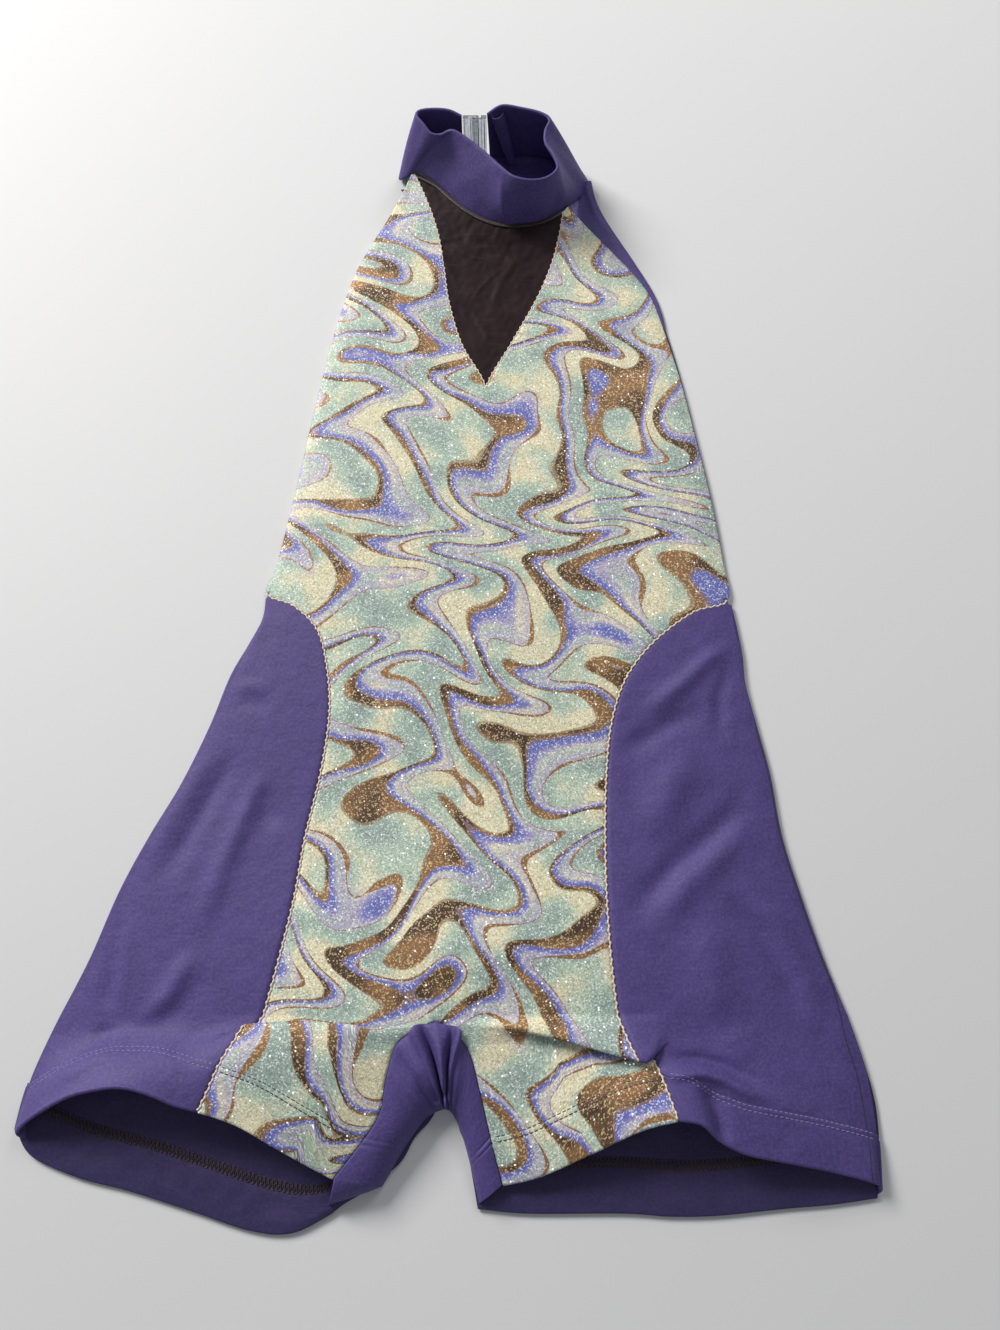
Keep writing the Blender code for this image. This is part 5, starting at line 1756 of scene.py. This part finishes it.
@dataclass
class Collar:
    """The standing double collar, open at the back where the clasp joins its ends."""

    wardrobe: Wardrobe
    steps: int = 10
    rows: int = 22
    half_wall: float = 0.95
    inside_wall: float = 0.6
    end_length: float = 34.0
    end_left: Table = ((18.6, 281.6, 37.6), (22.9, 278.0, 25.0), (28.6, 275.2, 9.0))
    end_right: Table = ((25.2, 284.0, 38.0), (29.2, 279.8, 25.0), (32.8, 276.0, 9.0))
    # Edges of the navy floor sheet inside the ring: in part cloth, in part a dark stand-in for the shade
    # inside the collar.
    floor_cloth_and_shade_back: Table = ((10.0, 282.6, 4.0), (30.0, 284.6, 5.0), (52.0, 282.6, 5.0), (66.0, 275.0, 3.0))
    floor_cloth_and_shade_front: Table = ((12.0, 262.0, 1.2), (28.0, 250.0, 1.2), (46.0, 246.0, 1.4), (62.0, 250.0, 1.6))

    def middle(self, stations: Array) -> Array:
        """Middle surface of the collar.

        Args:
            stations: Fractional ribs.

        Returns:
            A row of points from bottom to top at each station.
        """
        values = spline(COLLAR_RIBS, stations)
        last = len(COLLAR_RIBS) - 1.0
        after = spline(COLLAR_RIBS, np.minimum(stations + 0.5, last))
        before = spline(COLLAR_RIBS, np.maximum(stations - 0.5, 0.0))
        run = unit(after[:, :2] - before[:, :2])
        outward = np.stack([run[:, 1], -run[:, 0], np.zeros(len(run))], axis=1)
        up = np.linspace(0.0, 1.0, self.rows + 1)
        bulge = values[:, 6:7] * np.sin(math.pi * up)[None, :]
        line = values[:, None, 0:3] * (1.0 - up)[None, :, None] + values[:, None, 3:6] * up[None, :, None]
        points = line + outward[:, None] * bulge[..., None]
        wave = self.creases(stations[:, None], up[None, :])
        return points + outward[:, None] * wave[..., None]

    @staticmethod
    def creases(station: Array, up: Array) -> Array:
        """Outward relief of the collar: one sharp fold, four soft ones and a slow wave.

        Args:
            station: Fractional rib.
            up: Share of the height.

        Returns:
            One distance for each place.
        """
        relief = 2.1 * np.exp(-np.abs(station - 13.0 + 0.9 * up) / 0.30) * eased((1.15 - up) * 2.0)
        relief = relief - 0.5 * bell(station - 11.7, 0.5) * np.sin(math.pi * up)
        relief = relief + 0.5 * bell(station - 9.3 - 2.2 * up, 0.6)
        relief = relief - 0.5 * bell(station - 15.3 - 0.6 * up, 0.45)
        relief = relief + 0.35 * bell(station - 17.2, 0.4)
        relief = relief + 0.25 * np.sin(station * 3.1 + 2.0 * up)
        return relief * np.sin(math.pi * np.clip(up * 0.9 + 0.05, 0.0, 1.0)) ** 0.5

    def build(self) -> None:
        """Make and dress the collar."""
        last = len(COLLAR_RIBS) - 1
        middle = self.middle(np.linspace(0.0, last, last * self.steps + 1))
        points = np.stack(self.ring(middle), axis=1)
        along = arc_lengths(middle[:, self.rows // 2])
        down = arc_lengths(points[len(points) // 2])
        cloth = np.stack(np.broadcast_arrays(along[:, None], down[None, :]), axis=-1)
        collar = MeshMaker.from_patches("collar_cloth", [Patch(points, cloth)])
        # The inside piece holds the folded collar end and a dark floor sheet that stands in part for the
        # shade inside the ring.
        inside = MeshMaker.from_patches("collar_inside", self.inside())
        wall(inside, self.inside_wall)
        dress(inside, self.wardrobe.navy, Cloth.NAVY)
        dress(collar, self.wardrobe.navy, Cloth.NAVY, "collar")

    def ring(self, middle: Array) -> list[Array]:
        """Lines that run along the collar, all the way round its double wall.

        Args:
            middle: The collar's middle surface.

        Returns:
            The lines, from the outer bottom up, over the top fold, down the inside and under the foot.
        """
        up = np.gradient(middle, axis=1)
        outward = unit(np.cross(np.gradient(middle, axis=0), up))
        half = self.half_wall
        outer, inner = middle + outward * half, middle - outward * half
        top, run_up, side = middle[:, -1], unit(up[:, -1]), outward[:, -1]
        foot, run_down, low_side = middle[:, 0], -unit(up[:, 0]), outward[:, 0]
        lines = [outer[:, row] for row in range(self.rows + 1)]
        for turn in FOLD_TURNS:
            angle = math.pi * turn
            lines.append(top + side * half * math.cos(angle) + run_up * half * math.sin(angle))
        lines += [inner[:, row] for row in range(self.rows, -1, -1)]
        for turn in reversed(FOLD_TURNS):
            angle = math.pi * turn
            lines.append(foot + low_side * 0.8 * math.cos(angle) + run_down * 0.5 * math.sin(angle))
        return lines + lines[:1]

    def inside(self) -> list[Patch]:
        """The end of the collar that hangs folded inside it, and a navy sheet across the collar's floor, in
        part the collar's own cloth and in part a dark stand-in for the shade inside the ring.

        Returns:
            The two patches.
        """
        share = np.linspace(0.0, 1.0, 30)[:, None]
        ends = (self.end_left, self.end_right)
        left, right = (spline(line, share[:, 0] * (len(line) - 1.0)) for line in ends)
        middle, half = (left + right) / 2.0, (right - left) / 2.0
        turns = np.linspace(0.0, 2.0 * math.pi, 25)
        deep = np.array([0.0, 1.0, 0.35])
        ring = middle[:, None] + half[:, None] * np.cos(turns)[None, :, None]
        ring = ring + deep * (2.6 * (1.0 - 0.6 * share) * np.sin(turns)[None, :])[..., None]
        cloth = np.stack(np.broadcast_arrays(turns[None, :] * 4.0, share * self.end_length), axis=-1)
        # Dark floor sheet across the collar's inside: in part cloth, in part a stand-in for the shade that
        # the ring's walls cast.
        back, front = (spline(line, np.linspace(0.0, 3.0, 41)) for line in (self.floor_cloth_and_shade_back, self.floor_cloth_and_shade_front))
        over = np.linspace(0.0, 1.0, 21)[:, None, None]
        floor = back[None] * (1.0 - over) + front[None] * over
        floor[..., 2] += 0.9 * ripple(floor[..., :2], 7.0, 3.0)
        return [Patch(ring, cloth), Patch(floor, floor[..., :2])]


@dataclass
class Back:
    """The back panel, the insides of its legs and its bare strap."""

    wardrobe: Wardrobe
    strap: tuple[tuple[float, float, float], ...] = (
        (78.6, 265.5, 5.2), (81.0, 252.0, 4.8), (85.2, 241.0, 3.8), (91.6, 229.0, 2.8), (102.0, 210.0, 2.0),
        (113.2, 187.0, 1.6), (118.2, 168.0, 1.5), (119.4, 150.0, 1.2),
    )
    left_outer: Table = ((-179.4, -212.0), (-188.0, -236.0), (-191.6, -260.4))
    left_inner: Table = ((-2.4, -246.0), (-7.6, -255.4), (-14.6, -262.8), (-20.8, -272.8), (-36.4, -284.4))
    right_outer: Table = ((183.6, -210.5), (190.6, -238.0), (192.4, -258.0), (188.6, -286.6))
    right_inner: Table = ((2.2, -246.0), (5.2, -258.6), (9.2, -268.4), (13.8, -290.8))
    hem_steps: int = 110
    side_steps: int = 40
    thickness: float = 0.5
    hem_roll: float = 0.62
    strap_width: float = 15.0
    strap_roll: float = 0.8
    body_z: float = 0.62

    def build(self) -> None:
        """Make and dress the back panel in one piece of cloth."""
        patches = [self.leg_floor(*lines) for lines in self.leg_lines()]
        patches.append(self.strap_patch())
        back = MeshMaker.from_patches("back_cloth", patches)
        self.add_body(back)
        wall(back, self.thickness)
        # The back's finish paints shade inside the legs, toward the hems.
        dress(back, self.wardrobe.inside, Cloth.NAVY, "back_panel")

    def leg_lines(self) -> list[tuple[Array, Array, Array, Array, float]]:
        """Edge lines of each leg's inside.

        Returns:
            Top, hem, outer edge, inner edge and a seed for each leg.
        """
        outline = np.asarray(BACK_OUTLINE, dtype=float)
        found = []
        for hem, outer, inner, seed in (
            (outline[0:10], np.array(self.left_outer), np.array(self.left_inner), 1.0),
            (outline[19:27][::-1], np.array(self.right_outer), np.array(self.right_inner), 4.0),
        ):
            fine_hem = self.smooth_line(np.concatenate([outer[-1:], hem[1:-1], inner[-1:]]), self.hem_steps)
            fine_outer = self.smooth_line(outer, self.side_steps)
            fine_inner = self.smooth_line(inner, self.side_steps)
            over = np.linspace(0.0, 1.0, self.hem_steps + 1)[:, None]
            top = fine_outer[0] * (1.0 - over) + fine_inner[0] * over
            found.append((top, fine_hem, fine_outer, fine_inner, seed))
        return found

    @staticmethod
    def smooth_line(points: Array, count: int) -> Array:
        """Curve through points, redrawn with a number of even steps."""
        curve = spline(points, np.linspace(0.0, len(points) - 1.0, 400))
        return at_lengths(curve, np.linspace(0.0, arc_lengths(curve)[-1], count + 1))

    def leg_floor(self, top: Array, hem: Array, outer: Array, inner: Array, seed: float) -> Patch:
        """Inside of one leg's back layer, down to its rounded hem.

        Args:
            top: Plan points of its first row.
            hem: Plan points of its hem.
            outer: Plan points of its outer edge.
            inner: Plan points of its inner edge.
            seed: A number that sets its unevenness.

        Returns:
            The patch.
        """
        plan = coons(top, hem, outer, inner)
        up = np.cumsum(np.linalg.norm(np.diff(plan[::-1], axis=0), axis=-1), axis=0)
        up = np.concatenate([np.zeros((1, plan.shape[1])), up])[::-1]
        band = eased((20.5 - up) / 2.0)
        height = 1.15 + 0.55 * band - 0.35 * bell(up - 19.0, 1.6)
        swell = eased(up / 6.0) * eased((46.0 - up) / 30.0)
        height = height + 1.1 * swell * (0.5 + 0.5 * ripple(plan, 46.0, seed))
        height = height + 0.25 * ripple(plan, 15.0, seed + 2.0) * eased(up / 8.0)
        points = np.concatenate([plan, height[..., None]], axis=-1)
        return Patch(points, plan).turned().rolled(self.hem_roll).turned()

    def strap_patch(self) -> Patch:
        """Strap of the back that shows beside the print's right edge.

        Returns:
            The patch.
        """
        outer = self.smooth_line(np.asarray(self.strap, dtype=float), 60)
        run = unit(np.gradient(outer[:, :2], axis=0))
        inward = np.stack([run[:, 1], -run[:, 0]], axis=1)
        share = np.linspace(1.0, 0.0, 13)
        plan = outer[:, None, :2] + inward[:, None] * (self.strap_width * share)[None, :, None]
        ridge = 0.9 * bell(share - 0.22, 0.10) * eased(np.linspace(1.3, 0.0, len(outer)))[:, None]
        height = 1.1 + (outer[:, 2:3] - 1.1) * (1.0 - 0.8 * share[None, :]) + ridge
        points = np.concatenate([plan, height[..., None]], axis=-1)
        return Patch(points, plan).rolled(self.strap_roll)

    def add_body(self, back: Piece) -> None:
        """Add the flat of the back under everything, drawn in a little from the silhouette.

        Args:
            back: The back's cloth.
        """
        outline = np.asarray(BACK_OUTLINE, dtype=float)
        count = len(outline)
        before, after = outline[np.arange(count) - 1], outline[(np.arange(count) + 1) % count]
        run = unit(after - before)
        inward = np.stack([-run[:, 1], run[:, 0]], axis=1)
        depth = np.full(count, 1.1)
        depth[0:30] = 3.0
        depth[(outline[:, 1] > 200.0) & (outline[:, 0] < -20.0)] = 4.5
        shape = outline + inward * depth[:, None]
        fine = spline(np.concatenate([shape[-1:], shape, shape[:2]]), np.arange(1.0, count + 1.0, 0.25))
        sheet = bmesh.new()
        sheet.from_mesh(back.data)
        layer = sheet.verts.layers.float_vector["cloth"]
        corners = []
        for x, y in fine:
            corner = sheet.verts.new(Vector(MeshMaker.placed(np.array([x, y, self.body_z]))))
            corner[layer] = Vector((x * MM, y * MM, 0.0))
            corners.append(corner)
        sheet.faces.new(corners)
        sheet.to_mesh(back.data)
        sheet.free()


@dataclass
class Clasp:
    """The clear clasp: two hooked halves with fine upright ridges."""

    wardrobe: Wardrobe
    middle: tuple[float, float] = (8.7, 282.2)
    bottom: float = 2.4
    height: float = 35.0
    lean: float = math.radians(4.0)
    end_inset: float = 0.25
    bevel: float = 0.28
    ridge_radius: float = 0.24
    ridges: tuple[tuple[float, float], ...] = ((-5.9, -1.35), (-2.4, 0.2), (2.0, -1.35), (5.6, -1.35))
    hook: Table = (
        (-6.9, -1.3), (-3.9, -1.3), (-3.9, 0.35), (1.2, 0.35),
        (1.2, -0.4), (2.4, -0.4), (2.4, 1.3), (-6.9, 1.3),
    )
    eye: Table = (
        (6.9, 1.3), (3.9, 1.3), (3.9, -0.75), (-0.4, -0.75),
        (-0.4, 0.0), (-1.6, 0.0), (-1.6, -1.5), (6.9, -1.5),
    )

    def half(self, name: str, outline: Table, node: str) -> None:
        """Make one half from its plan outline.

        Args:
            name: Name of the piece.
            outline: Plan corners about the clasp's middle.
            node: CAD node that it stands for.
        """
        shape = np.asarray(outline, dtype=float)
        top = self.height
        levels = np.array([0.0, 0.4, 1.2, top * 0.5, top - 1.2, top - 0.4, top])
        points = []
        for number, level in enumerate(levels):
            inset = self.end_inset if number in (0, len(levels) - 1) else 0.0
            ring = shape - np.sign(shape - shape.mean(axis=0)) * inset
            back = (level - self.height / 2.0) * math.sin(self.lean)
            x = ring[:, 0] + self.middle[0]
            y = ring[:, 1] * math.cos(self.lean) - back + self.middle[1]
            points.append(np.stack([x, y, np.full(len(x), self.bottom + level)], axis=1))
        faces = MeshMaker.ring_faces(len(levels), len(shape))
        piece = MeshMaker.piece(name, np.concatenate(points), faces)
        bevel = piece.modifiers.new("moulded edges", "BEVEL")
        bevel.width = self.bevel * MM
        bevel.segments = 2
        bevel.limit_method = "ANGLE"
        dress(piece, self.wardrobe.clear, Cloth.CLEAR, node)

    def build(self) -> None:
        """Make and dress both halves and their ridges."""
        self.half("clasp_hook", self.hook, "clasp_hook_half")
        self.half("clasp_eye", self.eye, "clasp_eye_half")
        levels = np.linspace(1.0, self.height - 1.0, 8)
        parts = []
        for x, front in self.ridges:
            y = front - (levels - self.height / 2.0) * math.sin(self.lean) + self.middle[1]
            path = np.stack([np.full(len(levels), x + self.middle[0]), y, self.bottom + levels], axis=1)
            parts.append(MeshMaker.tube(path, self.ridge_radius, 8))
        dress(MeshMaker.joined("clasp_ridges", parts), self.wardrobe.clear, Cloth.CLEAR)


@dataclass
class Stitching:
    """Every row of stitches that shows."""

    front: Front
    back: Back
    wardrobe: Wardrobe
    pitch: float = 2.4
    radius: float = 0.26
    seam_inset: float = 4.4
    hem_lift: float = 0.34
    cover_lines: tuple[float, ...] = (17.6, 19.6, 21.6)
    cover_lift: float = 0.42
    cover_radius: float = 0.22
    loop_lift: float = 0.45
    loop_radius: float = 0.20
    hem_roll_rows: int = 6

    def row(self, line: Array, lift: float, radius: Optional[float] = None) -> list[Solid]:
        """One row of lock stitches along a line on the cloth.

        Args:
            line: Points on the cloth.
            lift: How far the thread stands over them.
            radius: Thread radius.

        Returns:
            The stitches as parts.
        """
        parts = []
        for start in np.arange(0.4, arc_lengths(line)[-1] - self.pitch, self.pitch):
            path = at_lengths(line, np.linspace(start, start + self.pitch * 0.72, 5))
            path[:, 2] += lift + np.array([-0.25, 0.0, 0.06, 0.0, -0.25])
            parts.append(MeshMaker.tube(path, radius or self.radius, 5))
        return parts

    def build(self) -> None:
        """Make and dress all the stitching."""
        front = self.front
        navy_rows, print_rows = [], []
        for side, inner in (
            (front.left_panel, front.left_leg_print), (front.right_panel, front.right_leg_print),
        ):
            for distance in HEM_LINES:
                navy_rows += self.row(side.at_distance(distance)[1:-1], self.hem_lift)
                print_rows += self.row(inner.at_distance(distance)[1:-1], self.hem_lift)
        dress(MeshMaker.joined("hem_stitches_navy", navy_rows), self.wardrobe.indigo, Cloth.NAVY)
        dress(MeshMaker.joined("hem_stitches_print", print_rows), self.wardrobe.slate, Cloth.PRINT)
        seam = MeshMaker.joined("side_seam_line", [self.side_seam(front.right_panel)])
        dress(seam, self.wardrobe.shade, Cloth.NAVY)
        self.cover_bands()

    def side_seam(self, panel: Patch) -> Solid:
        """Thread line of the side seam that has turned to the front above the right hem.

        Args:
            panel: The right side panel.

        Returns:
            The line as one part.
        """
        points = []
        for row in panel.points[-150:]:
            inset = self.seam_inset * float(eased((-195.0 - row[0, 1]) / 30.0)) + 1.2
            points.append(at_lengths(row, inset))
        line = even_line(np.asarray(points), 1.2)
        line[:, 2] += 0.24
        return MeshMaker.tube(line, 0.32, 6, 0.6)

    def cover_bands(self) -> None:
        """Brown cover stitches on the inside of each back hem."""
        parts = []
        for edges in self.back.leg_lines():
            floor = self.back.leg_floor(*edges).rows(0, -self.hem_roll_rows)
            lines = []
            for distance in self.cover_lines:
                lines.append(even_line(floor.at_distance(distance)[2:-2], 0.9))
                parts += self.row(lines[-1], self.cover_lift, self.cover_radius)
            low, high = lines[0], lines[-1]
            for number in range(0, min(len(low), len(high)) - 2, 2):
                start, turn, end = low[number], high[number + 1], low[number + 2]
                for first, last in ((start, turn), (turn, end)):
                    path = np.stack([first, (first + last) / 2.0, last])
                    path[:, 2] += self.loop_lift
                    parts.append(MeshMaker.tube(path, self.loop_radius, 4))
        dress(MeshMaker.joined("cover_stitches", parts), self.wardrobe.brown, Cloth.NAVY)


@dataclass
class Studio:
    """Table, lights and the camera at the photograph's angle."""

    eye: tuple[float, float, float] = (0.0233, -0.1935, 0.490)
    tilt: float = math.radians(18.0)
    photo: tuple[int, int] = (1000, 1330)
    sensor: float = 36.0
    table_half: float = 3.0
    table_z: float = -0.0002
    sky_tone: tuple[float, float, float, float] = (0.92, 0.95, 1.0, 1.0)
    sky_strength: float = 0.23

    def build(self) -> None:
        """Set up the table, the lights and the camera."""
        scene = bpy.context.scene
        half = self.table_half
        mesh = bpy.data.meshes.new("table")
        corners = [(-half, -half, 0.0), (half, -half, 0.0), (half, half, 0.0), (-half, half, 0.0)]
        mesh.from_pydata(corners, [], [(0, 1, 2, 3)])
        table = bpy.data.objects.new("table", mesh)
        table.location.z = self.table_z
        mesh.materials.append(TableFinish().material())
        scene.collection.objects.link(table)
        world = bpy.data.worlds.new("soft room")
        world.use_nodes = True
        sky = world.node_tree.nodes["Background"]
        sky.inputs[0].default_value = self.sky_tone
        sky.inputs[1].default_value = self.sky_strength
        scene.world = world
        self.lamp("key", (-1.50, 1.42, 1.30), 0.85, 77.0, (1.0, 0.97, 0.93))
        self.lamp("second", (0.60, 1.10, 1.10), 0.50, 6.0, (1.0, 0.97, 0.94))
        self.lamp("fill", (0.1, -1.0, 1.4), 0.9, 1.3, (0.94, 0.96, 1.0))
        camera = bpy.data.objects.new("camera", bpy.data.cameras.new("camera"))
        camera.data.sensor_width = self.sensor
        camera.data.lens = self.sensor * self.photo[0] / self.photo[1]
        camera.location = self.eye
        camera.rotation_euler = (self.tilt, 0.0, 0.0)
        scene.collection.objects.link(camera)
        scene.camera = camera
        scene.view_settings.view_transform = "Standard"

    @staticmethod
    def lamp(name: str, place: tuple[float, float, float], size: float, power: float, tone: Colour) -> None:
        """Add one soft square light that faces the garment.

        Args:
            name: Name of the light.
            place: Where it stands.
            size: Its side in metres.
            power: Its power in watts.
            tone: Its colour.
        """
        light = bpy.data.lights.new(name, "AREA")
        light.size = size
        light.energy = power
        light.color = tone
        lamp = bpy.data.objects.new(name, light)
        lamp.location = place
        lamp.rotation_euler = (Vector(LIT_SPOT) - Vector(place)).to_track_quat("-Z", "Y").to_euler()
        bpy.context.scene.collection.objects.link(lamp)


def main() -> None:
    """Build the garment's pieces in order, then the studio."""
    logging.basicConfig(level=logging.INFO, format="%(message)s")
    wardrobe = Wardrobe()
    front = Front()
    back = Back(wardrobe)
    back.build()
    FrontPanels(front, wardrobe).build()
    NeckMesh(front.form, wardrobe).build()
    CrotchStrip(front, wardrobe).build()
    Collar(wardrobe).build()
    Clasp(wardrobe).build()
    Stitching(front, back, wardrobe).build()
    Studio().build()


if __name__ == "__main__":
    main()
